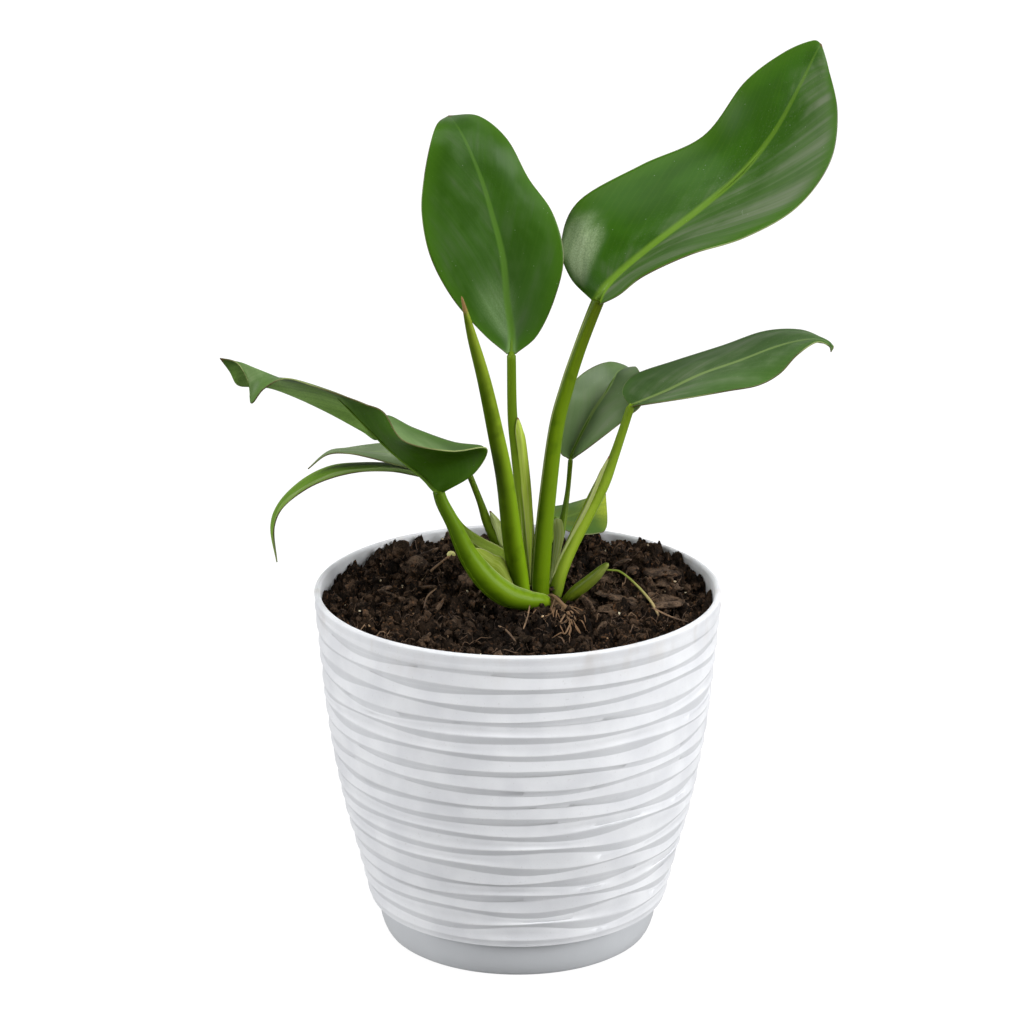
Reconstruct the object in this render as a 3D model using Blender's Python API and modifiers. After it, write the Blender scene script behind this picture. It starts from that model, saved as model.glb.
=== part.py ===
"""A philodendron in a round plastic pot: eight leaves, a rolled new leaf, potting soil, pot and saucer.

Lengths at the top and in the lists of points are in millimetres and become metres where a mesh is made.
The origin is the middle of the saucer's underside, +Z is up and -Y is the front.
"""

import math

import bmesh
import bpy
from mathutils import Vector

MM = 0.001
GAP = 0.3  # clearance between touching pieces
SIDES = 40  # flats round the pot, the saucer and the soil

RIM_RADIUS = 95.0
RIM_HEIGHT = 170.0
RIM_ROLL = 1.5  # radius of the rounded lip
POT_WALL = 2.4
POT_SIDE = ((70.3, 18.5), (75.3, 40.0), (82.4, 68.0), (88.8, 105.0), (93.0, 147.0), (94.6, 167.0))
FLOOR_BOTTOM = 24.0
FLOOR_TOP = 26.6
WALL_HEIGHTS = (FLOOR_TOP, 40.0, 70.0, 105.0, 145.0)  # where the inside wall changes its slope
RIDGES = 18  # the wavy ribs pressed into the outside of the pot
RIDGE_RELIEF = 0.6
RIDGE_WANDER = 1.1
DRAIN_HOLES = 6
DRAIN_RADIUS = 4.0
DRAIN_CIRCLE = 42.0

SAUCER_FOOT = 60.5
SAUCER_TOP = 66.6
SAUCER_WALL = 2.2

SOIL_LEVEL = 165.0
SOIL_SLOPE = 0.045  # the surface climbs towards the back

STEM_CENTRE = Vector((4.0, 4.0, 152.0))
STEM_RADII = Vector((17.0, 17.0, 17.0))

BLADE_THICK = 0.9
SHEATH_THICK = 1.1
TUBE_STEP = 9.0  # length of one straight run along a stem
TUBE_DETAIL = 3

LEAF_GREEN = (0.03, 0.13, 0.025)
STALK_GREEN = (0.16, 0.3, 0.03)
SHEATH_GREEN = (0.38, 0.45, 0.16)
ROOT_TAN = (0.36, 0.24, 0.13)

# Blades: one rib a line, from the leaf stalk to the tip, each as left edge, midrib, right edge.
# A blade starts and ends in a single point.
CENTRE_BLADE = (
    ((-3, 14, 280),),
    ((-16, 12, 289), (-3, 17, 289), (9, 13, 288)),
    ((-30, 11, 306), (-5, 19, 304), (17, 12, 306)),
    ((-40, 13, 325), (-7, 21, 324), (21, 16, 325)),
    ((-44, 18, 344), (-12, 24, 343), (16, 24, 343)),
    ((-43, 22, 360), (-17, 27, 359), (5, 33, 357)),
    ((-40, 27, 375), (-24, 31, 375), (-5, 40, 374)),
    ((-37, 36, 382), (-29, 38, 382), (-18, 48, 383)),
    ((-32, 54, 382),),
)
TALL_RIGHT_BLADE = (
    ((36, 16, 305),),
    ((24, 24, 313), (40, 15, 309), (46, 2, 310)),
    ((20, 30, 327), (48, 17, 317), (57, -6, 321)),
    ((28, 35, 346), (63, 21, 329), (78, -6, 331)),
    ((57, 44, 361), (84, 28, 344), (103, 2, 337)),
    ((86, 52, 373), (103, 36, 359), (127, 14, 348)),
    ((105, 58, 397), (118, 42, 377), (143, 28, 366)),
    ((123, 62, 410), (130, 48, 398), (147, 42, 386)),
    ((136, 60, 416), (137, 54, 411), (143, 52, 405)),
    ((140, 57, 415),),
)
LEFT_FRONT_BLADE = (
    ((-37, -22, 225),),
    ((-20, -38, 237), (-40, -22, 227), (-22, -5, 234)),
    ((-14, -44, 251), (-44, -22, 231), (-16, 1, 238)),
    ((-30, -45, 250), (-53, -22, 238), (-30, 2, 240)),
    ((-51, -43, 254), (-62, -23, 248), (-48, 1, 247)),
    ((-60, -42, 267), (-72, -25, 259), (-60, -1, 251)),
    ((-75, -43, 274), (-82, -26, 270), (-72, -3, 247)),
    ((-91, -44, 280), (-93, -27, 275), (-86, -6, 256)),
    ((-104, -42, 283), (-104, -28, 278), (-100, -9, 264)),
    ((-114, -38, 277), (-113, -29, 282), (-112, -13, 270)),
    ((-120, -34, 269), (-119, -30, 285), (-120, -17, 272)),
    ((-121, -32, 278), (-124, -30, 287), (-127, -21, 274)),
    ((-126, -31, 287), (-129, -30, 288), (-130, -24, 281)),
    ((-134, -30, 289),),
)
RIGHT_MIDDLE_BLADE = (
    ((53, 22, 252),),
    ((49, 32, 256), (59, 22, 254), (61, 10, 256)),
    ((55, 38, 262), (70, 22, 259), (79, 3, 261)),
    ((74, 41, 268), (85, 21, 267), (96, 0, 265)),
    ((96, 42, 275), (103, 20, 274), (110, -1, 268)),
    ((115, 38, 283), (119, 18, 281), (120, 1, 273)),
    ((131, 30, 286), (131, 15, 285), (128, 4, 281)),
    ((141, 18, 285), (140, 12, 286), (137, 8, 286)),
    ((145, 10, 284), (144, 10, 283), (143, 9, 284)),
    ((144, 9, 281),),
)
BACK_RIGHT_BLADE = (
    ((25, 36, 223),),
    ((20, 32, 227), (27, 38, 227), (34, 31, 229)),
    ((20, 32, 248), (35, 42, 242), (52, 30, 244)),
    ((24, 37, 256), (40, 45, 249), (58, 33, 249)),
    ((32, 44, 262), (44, 49, 254), (60, 40, 255)),
    ((42, 53, 264), (47, 55, 258), (58, 50, 259)),
    ((50, 66, 259), (52, 64, 258), (56, 62, 259)),
    ((54, 74, 254),),
)
LEFT_UPPER_BLADE = (
    ((-25, 22, 225),),
    ((-33, 12, 225), (-31, 22, 227), (-31, 34, 228)),
    ((-44, 6, 225), (-41, 22, 227), (-41, 40, 228)),
    ((-55, 4, 228), (-53, 22, 228), (-54, 42, 228)),
    ((-68, 6, 231), (-66, 22, 229), (-68, 38, 228)),
    ((-79, 10, 232), (-79, 21, 230), (-80, 32, 228)),
    ((-89, 14, 230), (-89, 20, 229), (-89, 26, 228)),
    ((-98, 18, 222),),
)
LEFT_DROOPING_BLADE = (
    ((-42, 7, 222),),
    ((-49, -4, 226), (-48, 9, 224), (-50, 24, 221)),
    ((-59, -8, 229), (-58, 10, 225), (-60, 30, 221)),
    ((-73, -9, 229), (-72, 11, 224), (-74, 31, 221)),
    ((-87, -7, 225), (-86, 11, 222), (-88, 29, 220)),
    ((-99, -3, 218), (-100, 11, 215), (-101, 27, 214)),
    ((-110, 2, 207), (-110, 11, 207), (-112, 23, 204)),
    ((-114, 6, 194), (-114, 11, 195), (-116, 19, 193)),
    ((-113, 12, 178),),
)
BACK_LOW_BLADE = (
    ((19, 51, 186),),
    ((11, 66, 187), (14, 58, 186), (18, 50, 184)),
    ((15, 74, 185), (22, 64, 183), (28, 52, 179)),
    ((24, 82, 184), (32, 72, 184), (38, 58, 177)),
    ((34, 88, 185), (40, 80, 185), (43, 66, 178)),
    ((43, 90, 187),),
)

# Sheaths at the foot of the leaf stalks: ribs as above, from the free tip down.
CENTRE_SHEATH = (
    ((0, 11, 249),),
    ((-1, 10, 243), (1, 9, 244), (2, 10, 244)),
    ((0, 10, 234), (2, 8, 235), (4, 10, 235)),
    ((3, 8, 202), (5, 8, 203), (7, 8, 203)),
    ((6, 7.5, 168),),
)
FRONT_SHEATH = (
    ((-23, -7, 192),),
    ((-16, -5, 190), (-17, -8, 188), (-18, -7, 185)),
    ((-11, -4, 187), (-12, -7, 184), (-14, -8, 180)),
    ((-6, -4, 184), (-8, -7, 181), (-10, -8, 177)),
    ((-0.5, -5, 167),),
)
LEFT_SHEATH = (
    ((-13, 16, 202),),
    ((-12, 16, 196), (-10, 13, 197), (-8, 14, 197)),
    ((-9, 13, 189), (-8, 11, 190), (-5, 12, 190)),
    ((-3, 12.5, 167.5),),
)
BACK_RIGHT_SHEATH = (
    ((19, 19, 197),),
    ((17, 19, 195), (19, 18, 196), (21, 19, 195)),
    ((17, 17, 186), (19, 15, 187), (21, 16, 186)),
    ((15, 10, 167),),
)

# Stalks and roots: x, y, z and radius along the middle, from the stem outwards.
LEFT_FRONT_STALK = (
    (13, -4, 160, 3.2),
    (11, -8, 165.5, 3.6),
    (3.5, -11.5, 167.5, 4.9),
    (-6, -14.5, 171.5, 5.7),
    (-15.5, -17, 180.5, 5.4),
    (-23.5, -19, 193, 4.4),
    (-29.5, -21, 207.5, 3.4),
    (-34.5, -22, 218, 3.0),
    (-36.5, -22, 224.5, 2.7),
)
NEW_LEAF = (
    (2.5, -1, 161, 3.2),
    (2, -1.5, 167, 3.8),
    (0.5, -1.5, 175, 4.5),
    (-1, -2.5, 184, 4.8),
    (-3, -4, 199, 4.6),
    (-6, -6.5, 224.5, 4.1),
    (-10.5, -9, 249, 3.7),
    (-15.5, -11, 273.5, 3.1),
    (-21, -12.5, 295, 2.2),
    (-25.5, -13.5, 313.5, 0.4),
)
TALL_RIGHT_STALK = (
    (10.5, 3.5, 158, 3.7),
    (10.5, 2.7, 165, 4.2),
    (10.5, 3, 176, 4.6),
    (13, 4.5, 207, 4.3),
    (17.5, 8.5, 244, 3.8),
    (22.5, 11, 264, 3.5),
    (28, 13, 281, 3.2),
    (33.5, 15, 295.5, 3.1),
    (37, 16, 304, 3.0),
)
CENTRE_STALK = (
    (5, 10, 160, 2.8),
    (5, 10, 168, 3.0),
    (4.5, 10.5, 187, 3.4),
    (3.5, 11.5, 204, 3.5),
    (1.5, 12, 218.5, 3.4),
    (-0.5, 12.5, 233, 2.9),
    (-2.5, 13, 249.5, 2.3),
    (-3, 14, 280, 2.1),
)
RIGHT_MIDDLE_STALK = (
    (17, 6, 159, 2.3),
    (18.5, 6, 166, 2.7),
    (20.5, 7.5, 175, 3.0),
    (25.5, 10, 187, 3.0),
    (34, 14, 204, 3.3),
    (40, 17, 216, 3.3),
    (45, 19, 228, 2.3),
    (53, 22, 252.5, 1.9),
)
BACK_RIGHT_STALK = (
    (13.5, 12, 160, 2.2),
    (15, 13, 167, 2.3),
    (17.5, 17, 180, 2.4),
    (20.5, 23, 190.5, 2.0),
    (23.5, 32, 206, 1.2),
    (25, 36, 222, 1.2),
)
LEFT_UPPER_STALK = (
    (1, 14, 161, 2.2),
    (0, 15, 170, 2.4),
    (-5, 15.5, 180, 2.9),
    (-10, 16.5, 187.5, 2.8),
    (-14.5, 18, 196.5, 2.3),
    (-18, 19.5, 206.5, 1.6),
    (-25, 22.5, 224, 1.4),
)
LEFT_DROOPING_STALK = (
    (-1.5, 5, 162, 2.1),
    (-2, 7, 173, 2.3),
    (-7, 8.5, 182, 2.9),
    (-18.5, 10, 188.5, 2.8),
    (-28, 9, 197, 2.5),
    (-36, 8, 212, 2.0),
    (-41.5, 7.5, 221.5, 1.6),
)
BACK_LOW_STALK = (
    (7.5, 15.5, 160, 1.9),
    (8, 18, 166, 2.0),
    (11, 23, 175.5, 2.1),
    (15, 31, 183, 1.9),
    (18, 42, 187, 1.5),
    (19, 51, 186, 1.3),
)
SIDE_SHOOT = (
    (17.5, -0.5, 156, 2.1),
    (21, -0.5, 161, 2.4),
    (27, -3, 168.5, 3.0),
    (32, -4, 173, 3.0),
    (36.5, -5, 177.5, 2.6),
    (39.5, -5.5, 181, 1.9),
    (42, -6, 183.5, 0.9),
)
AERIAL_ROOT = (
    (39.5, -5.5, 180, 0.6),
    (44, -7, 180.5, 0.6),
    (48, -8.5, 180, 0.6),
    (55, -12, 175, 0.7),
    (62, -17, 168, 0.8),
    (66, -21, 161, 0.7),
)
SURFACE_ROOT = (
    (13.5, -1.5, 165, 1.1),
    (15.5, -5, 167.5, 1.2),
    (18, -8, 167, 1.3),
    (22, -16, 165.5, 1.2),
    (24.5, -28, 164, 1.0),
    (28.5, -42, 162, 0.8),
)


def new_collection(name):
    """A collection in the scene."""
    made = bpy.data.collections.new(name)
    bpy.context.scene.collection.children.link(made)
    return made


def finish(name, colour, roughness):
    """A Principled material of one colour."""
    material = bpy.data.materials.new(name)
    material.use_nodes = True
    shader = material.node_tree.nodes["Principled BSDF"]
    shader.inputs["Base Color"].default_value = (*colour, 1.0)
    shader.inputs["Roughness"].default_value = roughness
    shader.inputs["Metallic"].default_value = 0.0
    return material


def new_object(name, mesh, collection, material=None):
    """An object with this mesh, which takes the material."""
    made = bpy.data.objects.new(name, mesh)
    collection.objects.link(made)
    if material:
        mesh.materials.append(material)
    return made


def settled(thing):
    """The object as its modifiers leave it, with a plain mesh of its own and welded caps."""
    bpy.context.view_layer.update()
    graph = bpy.context.evaluated_depsgraph_get()
    mesh = bpy.data.meshes.new_from_object(thing.evaluated_get(graph))
    shape = bmesh.new()
    shape.from_mesh(mesh)
    bmesh.ops.remove_doubles(shape, verts=shape.verts, dist=0.00001)
    bmesh.ops.recalc_face_normals(shape, faces=shape.faces)
    shape.to_mesh(mesh)
    shape.free()
    name, place = thing.name, thing.matrix_world.copy()
    collection = thing.users_collection[0]
    bpy.data.objects.remove(thing)
    made = new_object(name, mesh, collection)
    made.matrix_world = place
    return made


def round_off(thing, angle=50.0):
    """Smooth shading, with the corners sharper than the angle kept."""
    thing.data.shade_smooth()
    thing.data.set_sharp_from_angle(angle=math.radians(angle))


def along(points, share):
    """The place at a share, 0 to 1, of a smooth curve through the points."""
    last = len(points) - 1
    at = min(share * last, last - 1e-6)
    first = int(at)
    t = at - first
    b, c = Vector(points[first]), Vector(points[first + 1])
    a = Vector(points[first - 1]) if first > 0 else b * 2 - c
    d = Vector(points[first + 2]) if first + 2 <= last else c * 2 - b
    straight = b * 2 + (c - a) * t
    bend = (a * 2 - b * 5 + c * 4 - d) * t**2
    twist = (b * 3 - a - c * 3 + d) * t**3
    return (straight + bend + twist) / 2


def turned(name, profile, material):
    """A profile of (radius, height) turned about the upright axis, from its outer side down and round."""
    mesh = bpy.data.meshes.new(name)
    shape = bmesh.new()
    ring = [shape.verts.new((radius * MM, 0, height * MM)) for radius, height in profile]
    for low, high in zip(ring, ring[1:]):
        shape.edges.new((low, high))
    if profile[0][0] > 0:
        shape.edges.new((ring[-1], ring[0]))
    shape.to_mesh(mesh)
    shape.free()
    made = new_object(name, mesh, PLANT, material)
    screw = made.modifiers.new("turn", "SCREW")
    screw.steps = SIDES
    screw.render_steps = SIDES
    screw.use_merge_vertices = True
    screw.merge_threshold = 0.00001
    return settled(made)


def tube(name, points, collection, material=None, grow=0.0):
    """A round stem through the points, each with its own radius; grow fattens and lengthens it."""
    length = sum((Vector(b[:3]) - Vector(a[:3])).length for a, b in zip(points, points[1:]))
    runs = max(5, round(length / TUBE_STEP))
    stations = [along(points, step / runs) for step in range(runs + 1)]
    places = [Vector(station[:3]) for station in stations]
    places[0] += (places[0] - places[1]).normalized() * grow
    places[-1] += (places[-1] - places[-2]).normalized() * grow
    curve = bpy.data.curves.new(name, "CURVE")
    curve.dimensions = "3D"
    curve.bevel_depth = MM
    curve.bevel_resolution = TUBE_DETAIL
    curve.use_fill_caps = True
    line = curve.splines.new("POLY")
    line.points.add(runs)
    for point, place, station in zip(line.points, places, stations):
        point.co = (*(place * MM), 1.0)
        point.radius = station[3] + grow
    made = bpy.data.objects.new(name, curve)
    collection.objects.link(made)
    if material:
        curve.materials.append(material)
    made = settled(made)
    round_off(made)
    return made


def blade(name, ribs, material, thick=BLADE_THICK, rows=16, columns=6):
    """A leaf blade or sheath: a sheet laid over its ribs, then thickened to both sides."""
    edges = [[rib[min(side, len(rib) - 1)] for rib in ribs] for side in range(3)]
    left, middle, right = edges
    shape = bmesh.new()
    bmesh.ops.create_grid(shape, x_segments=columns, y_segments=rows, size=1.0)
    for vert in shape.verts:
        share = (vert.co.y + 1) / 2
        side = along(left if vert.co.x < 0 else right, share)
        vert.co = along(middle, share).lerp(side, abs(vert.co.x)) * MM
    bmesh.ops.remove_doubles(shape, verts=shape.verts, dist=0.00002)
    mesh = bpy.data.meshes.new(name)
    shape.to_mesh(mesh)
    shape.free()
    made = new_object(name, mesh, PLANT, material)
    wall = made.modifiers.new("thickness", "SOLIDIFY")
    wall.thickness = thick * MM
    wall.offset = 0.0
    made = settled(made)
    round_off(made)
    return made


def hidden(thing):
    """Marks a cutter, which is no piece of the plant."""
    thing.hide_render = True
    thing.display_type = "WIRE"
    return thing


def cut(thing, others):
    """Cuts the others out of the piece and keeps the largest body."""
    for other in others:
        saw = thing.modifiers.new("cut", "BOOLEAN")
        saw.object = other
        saw.operation = "DIFFERENCE"
        saw.solver = "EXACT"
    made = settled(thing)
    keep_largest(made.data)
    return made


def keep_largest(mesh):
    """Deletes the crumbs that a cut leaves beside the main body."""
    shape = bmesh.new()
    shape.from_mesh(mesh)
    waiting = set(shape.verts)
    bodies = []
    while waiting:
        body, edge = set(), [waiting.pop()]
        while edge:
            vert = edge.pop()
            body.add(vert)
            for link in vert.link_edges:
                other = link.other_vert(vert)
                if other in waiting:
                    waiting.remove(other)
                    edge.append(other)
        bodies.append(body)
    bodies.sort(key=len)
    crumbs = [vert for body in bodies[:-1] for vert in body]
    bmesh.ops.delete(shape, geom=crumbs, context="VERTS")
    shape.to_mesh(mesh)
    shape.free()


def pot_side(share):
    """Radius and height on the outside of the pot, 0 at its lower edge and 1 under the lip."""
    return along([(*point, 0.0) for point in POT_SIDE], share)


def make_pot():
    """The tapered shell with its ribbed outside, rolled lip and a floor with drain holes."""
    white = finish("white_plastic", (0.78, 0.79, 0.81), 0.42)
    inside = inside_wall()
    lip = []
    for step in range(1, 4):
        turn = math.radians(180 - 60 * step)
        across, up = math.cos(turn), math.sin(turn)
        lip.append((RIM_RADIUS + RIM_ROLL * (across - 1), RIM_HEIGHT + RIM_ROLL * (up - 1)))
    outside = []
    for row in range(2 * RIDGES, -1, -1):
        side = pot_side(row / (2 * RIDGES))
        relief = RIDGE_RELIEF * (1 if row % 2 else -1)
        outside.append((side.x + relief, side.y))
    skirt = [(outside[-1][0] - POT_WALL, outside[-1][1]), (inside[0][0] - 1, FLOOR_BOTTOM)]
    profile = [(0, FLOOR_TOP), *inside, *lip, *outside, *skirt, (0, FLOOR_BOTTOM)]
    made = turned("pot", profile, white)
    for vert in made.data.vertices:
        x, y, z = vert.co / MM
        if math.hypot(x, y) > outer_radius(z) - 1:
            turn = math.atan2(y, x)
            fade = max(0, min(1, (z - 15) / 15, (165 - z) / 15))
            wander = math.sin(3 * turn + z / 11) + math.sin(5 * turn - z / 17)
            vert.co.z += RIDGE_WANDER * wander * fade * MM
    drills = []
    for hole in range(DRAIN_HOLES):
        turn = math.tau * hole / DRAIN_HOLES
        drills.append(drain_drill(DRAIN_CIRCLE * math.cos(turn), DRAIN_CIRCLE * math.sin(turn)))
    made = cut(made, drills)
    round_off(made, 35)
    return made


def outer_radius(height):
    """The outside radius of the pot at a height, between its ribs."""
    low, high = 0.0, 1.0
    for _ in range(20):
        middle = (low + high) / 2
        if pot_side(middle).y < height:
            low = middle
        else:
            high = middle
    return pot_side(low).x


def inside_wall():
    """The pot's inside as straight runs of (radius, height), from the floor to the lip."""
    wall = [(outer_radius(height) - POT_WALL, height) for height in WALL_HEIGHTS]
    return [*wall, (RIM_RADIUS - 2 * RIM_ROLL, RIM_HEIGHT - RIM_ROLL)]


def inner_radius(height):
    """The inside radius of the pot at a height."""
    wall = inside_wall()
    for (low_radius, low), (high_radius, high) in zip(wall, wall[1:]):
        if height <= high:
            share = (height - low) / (high - low)
            return low_radius + (high_radius - low_radius) * share
    return wall[-1][0]


def drain_drill(x, y):
    """A short cylinder through the pot's floor."""
    mesh = bpy.data.meshes.new("drain_room")
    shape = bmesh.new()
    bmesh.ops.create_cone(
        shape,
        cap_ends=True,
        segments=12,
        radius1=DRAIN_RADIUS * MM,
        radius2=DRAIN_RADIUS * MM,
        depth=8 * MM,
    )
    shape.to_mesh(mesh)
    shape.free()
    made = new_object("drain_room", mesh, CUTTERS)
    made.location = Vector((x, y, (FLOOR_BOTTOM + FLOOR_TOP) / 2)) * MM
    return hidden(made)


def make_saucer():
    """The grey dish that clips under the pot and holds the water which drains out."""
    grey = finish("grey_plastic", (0.42, 0.44, 0.46), 0.45)
    top = FLOOR_BOTTOM - GAP
    profile = [
        (0, SAUCER_WALL),
        (SAUCER_FOOT - 2, SAUCER_WALL),
        (SAUCER_TOP - SAUCER_WALL - 1, 8),
        (SAUCER_TOP - SAUCER_WALL, top),
        (SAUCER_TOP, top),
        (SAUCER_TOP - 0.2, 15),
        (SAUCER_TOP - 1.6, 6),
        (SAUCER_TOP - 3.2, 2),
        (SAUCER_FOOT, 0),
        (0, 0),
    ]
    made = turned("saucer", profile, grey)
    round_off(made, 35)
    return made


def soil_height(x, y):
    """The height of the soil's surface: a slope, a heap at the back right and a hollow in front."""
    heap = 3.0 * math.exp(-((x - 55) ** 2 + (y - 45) ** 2) / 28**2)
    hollow = 5.0 * math.exp(-((x + 10) ** 2 + (y + 26) ** 2) / 13**2)
    return SOIL_LEVEL + SOIL_SLOPE * y + heap - hollow


def make_soil(buried):
    """The soil: it fills the pot to its heaped surface, with room for what is rooted in it."""
    brown = finish("potting_soil", (0.045, 0.026, 0.016), 0.95)
    low = FLOOR_TOP + GAP
    heights = [low, *WALL_HEIGHTS[1:], SOIL_LEVEL]
    side = [(inner_radius(height) - GAP, height) for height in heights]
    rings = [(side[-1][0] * share, SOIL_LEVEL) for share in (0.86, 0.7, 0.54, 0.38, 0.22, 0)]
    profile = [*rings[::-1], *side[::-1], (0, low)]
    made = turned("potting_soil", profile, brown)
    for vert in made.data.vertices:
        if vert.co.z > (SOIL_LEVEL - 1) * MM:
            vert.co.z = soil_height(vert.co.x / MM, vert.co.y / MM) * MM
    return cut(made, buried)


def stem_body(name, collection, grow=0.0, material=None):
    """The rounded body of the short thick stem."""
    mesh = bpy.data.meshes.new(name)
    shape = bmesh.new()
    bmesh.ops.create_uvsphere(shape, u_segments=16, v_segments=10, radius=1.0)
    radii = STEM_RADII + Vector((grow, grow, grow))
    for vert in shape.verts:
        vert.co = (STEM_CENTRE + vert.co * radii) * MM
    shape.to_mesh(mesh)
    shape.free()
    return new_object(name, mesh, collection, material)


def make_stem_base(rooms):
    """The stem that every leaf stalk grows from, mostly under the soil."""
    made = stem_body("stem_base", PLANT, material=finish("stem_bark", (0.16, 0.14, 0.05), 0.7))
    made = cut(made, rooms)
    round_off(made)


def make_stem(name, points, colour):
    """A stalk or root, and the cutter that makes room for it."""
    tube(name, points, PLANT, finish(name + "_skin", colour, 0.45))
    return hidden(tube(name + "_room", points, CUTTERS, grow=GAP))


def make_leaf(name, stalk, ribs, colour):
    """A stalk with its blade, which leaves room for the stalk's end."""
    room = make_stem(name + "_stalk", stalk, STALK_GREEN)
    cut(blade(name + "_blade", ribs, finish(name + "_green", colour, 0.35)), [room])
    return room


def make_sheath(name, ribs, others):
    """A thin leaf-like sheath at the foot of a stalk."""
    made = blade(name, ribs, finish(name + "_skin", SHEATH_GREEN, 0.55), SHEATH_THICK, rows=8, columns=4)
    cut(made, others)


def main():
    stem_room = hidden(stem_body("stem_room", CUTTERS, GAP))
    left_front = make_leaf("left_front", LEFT_FRONT_STALK, LEFT_FRONT_BLADE, LEAF_GREEN)
    tall_right = make_leaf("tall_right", TALL_RIGHT_STALK, TALL_RIGHT_BLADE, LEAF_GREEN)
    centre = make_leaf("centre", CENTRE_STALK, CENTRE_BLADE, LEAF_GREEN)
    right_middle = make_leaf("right_middle", RIGHT_MIDDLE_STALK, RIGHT_MIDDLE_BLADE, LEAF_GREEN)
    back_right = make_leaf("back_right", BACK_RIGHT_STALK, BACK_RIGHT_BLADE, LEAF_GREEN)
    left_upper = make_leaf("left_upper", LEFT_UPPER_STALK, LEFT_UPPER_BLADE, LEAF_GREEN)
    left_drooping = make_leaf("left_drooping", LEFT_DROOPING_STALK, LEFT_DROOPING_BLADE, LEAF_GREEN)
    back_low = make_leaf("back_low", BACK_LOW_STALK, BACK_LOW_BLADE, LEAF_GREEN)
    new_leaf = make_stem("new_leaf", NEW_LEAF, STALK_GREEN)
    side_shoot = make_stem("side_shoot", SIDE_SHOOT, STALK_GREEN)
    make_sheath("centre_sheath", CENTRE_SHEATH, [stem_room, centre, tall_right, new_leaf])
    make_sheath("front_sheath", FRONT_SHEATH, [stem_room, new_leaf, left_front, left_drooping])
    make_sheath("left_sheath", LEFT_SHEATH, [stem_room, left_upper, new_leaf, centre, left_drooping])
    make_sheath("back_right_sheath", BACK_RIGHT_SHEATH, [stem_room, back_right, right_middle])
    aerial_root = make_stem("aerial_root", AERIAL_ROOT, ROOT_TAN)
    cut(bpy.data.objects["aerial_root"], [side_shoot])
    surface_root = make_stem("surface_root", SURFACE_ROOT, ROOT_TAN)
    cut(bpy.data.objects["surface_root"], [stem_room])
    stalks = [left_front, tall_right, centre, right_middle, back_right, left_upper]
    stalks += [left_drooping, back_low, new_leaf, side_shoot]
    make_stem_base(stalks)
    make_pot()
    make_saucer()
    make_soil([stem_room, *stalks, aerial_root, surface_root])


for old in list(bpy.data.objects):
    bpy.data.objects.remove(old)
PLANT = new_collection("potted_philodendron")
CUTTERS = new_collection("cutters")
main()
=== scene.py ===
"""The looks of a potted philodendron: leaves, soil, ribbed pot and saucer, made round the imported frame.

Lengths are in millimetres and become metres where a mesh is made. +Z is up and -Y is the front.
"""

import functools
import math
import random

import bmesh
import bpy
from mathutils import Matrix, Vector, noise


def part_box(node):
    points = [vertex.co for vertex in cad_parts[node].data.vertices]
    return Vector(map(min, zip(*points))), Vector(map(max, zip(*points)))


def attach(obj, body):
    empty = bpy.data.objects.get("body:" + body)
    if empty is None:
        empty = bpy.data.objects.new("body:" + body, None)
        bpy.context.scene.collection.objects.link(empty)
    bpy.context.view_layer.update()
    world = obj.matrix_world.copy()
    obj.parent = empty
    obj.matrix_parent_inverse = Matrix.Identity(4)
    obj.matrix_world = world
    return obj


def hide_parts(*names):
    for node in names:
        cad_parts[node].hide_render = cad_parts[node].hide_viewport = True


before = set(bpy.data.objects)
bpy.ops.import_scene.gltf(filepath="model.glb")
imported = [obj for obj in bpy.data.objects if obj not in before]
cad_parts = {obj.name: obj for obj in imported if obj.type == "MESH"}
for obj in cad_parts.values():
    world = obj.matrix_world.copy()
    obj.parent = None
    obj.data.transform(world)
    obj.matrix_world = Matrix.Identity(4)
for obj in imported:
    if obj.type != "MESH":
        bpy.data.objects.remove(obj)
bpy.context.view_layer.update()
MM = 0.001

# ---- Studio ----
# A pale seamless floor under an even white surround, with a wide soft light high on the right
# and a low softbox on each side, whose reflections give the leaves and the pot their sheen.


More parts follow.
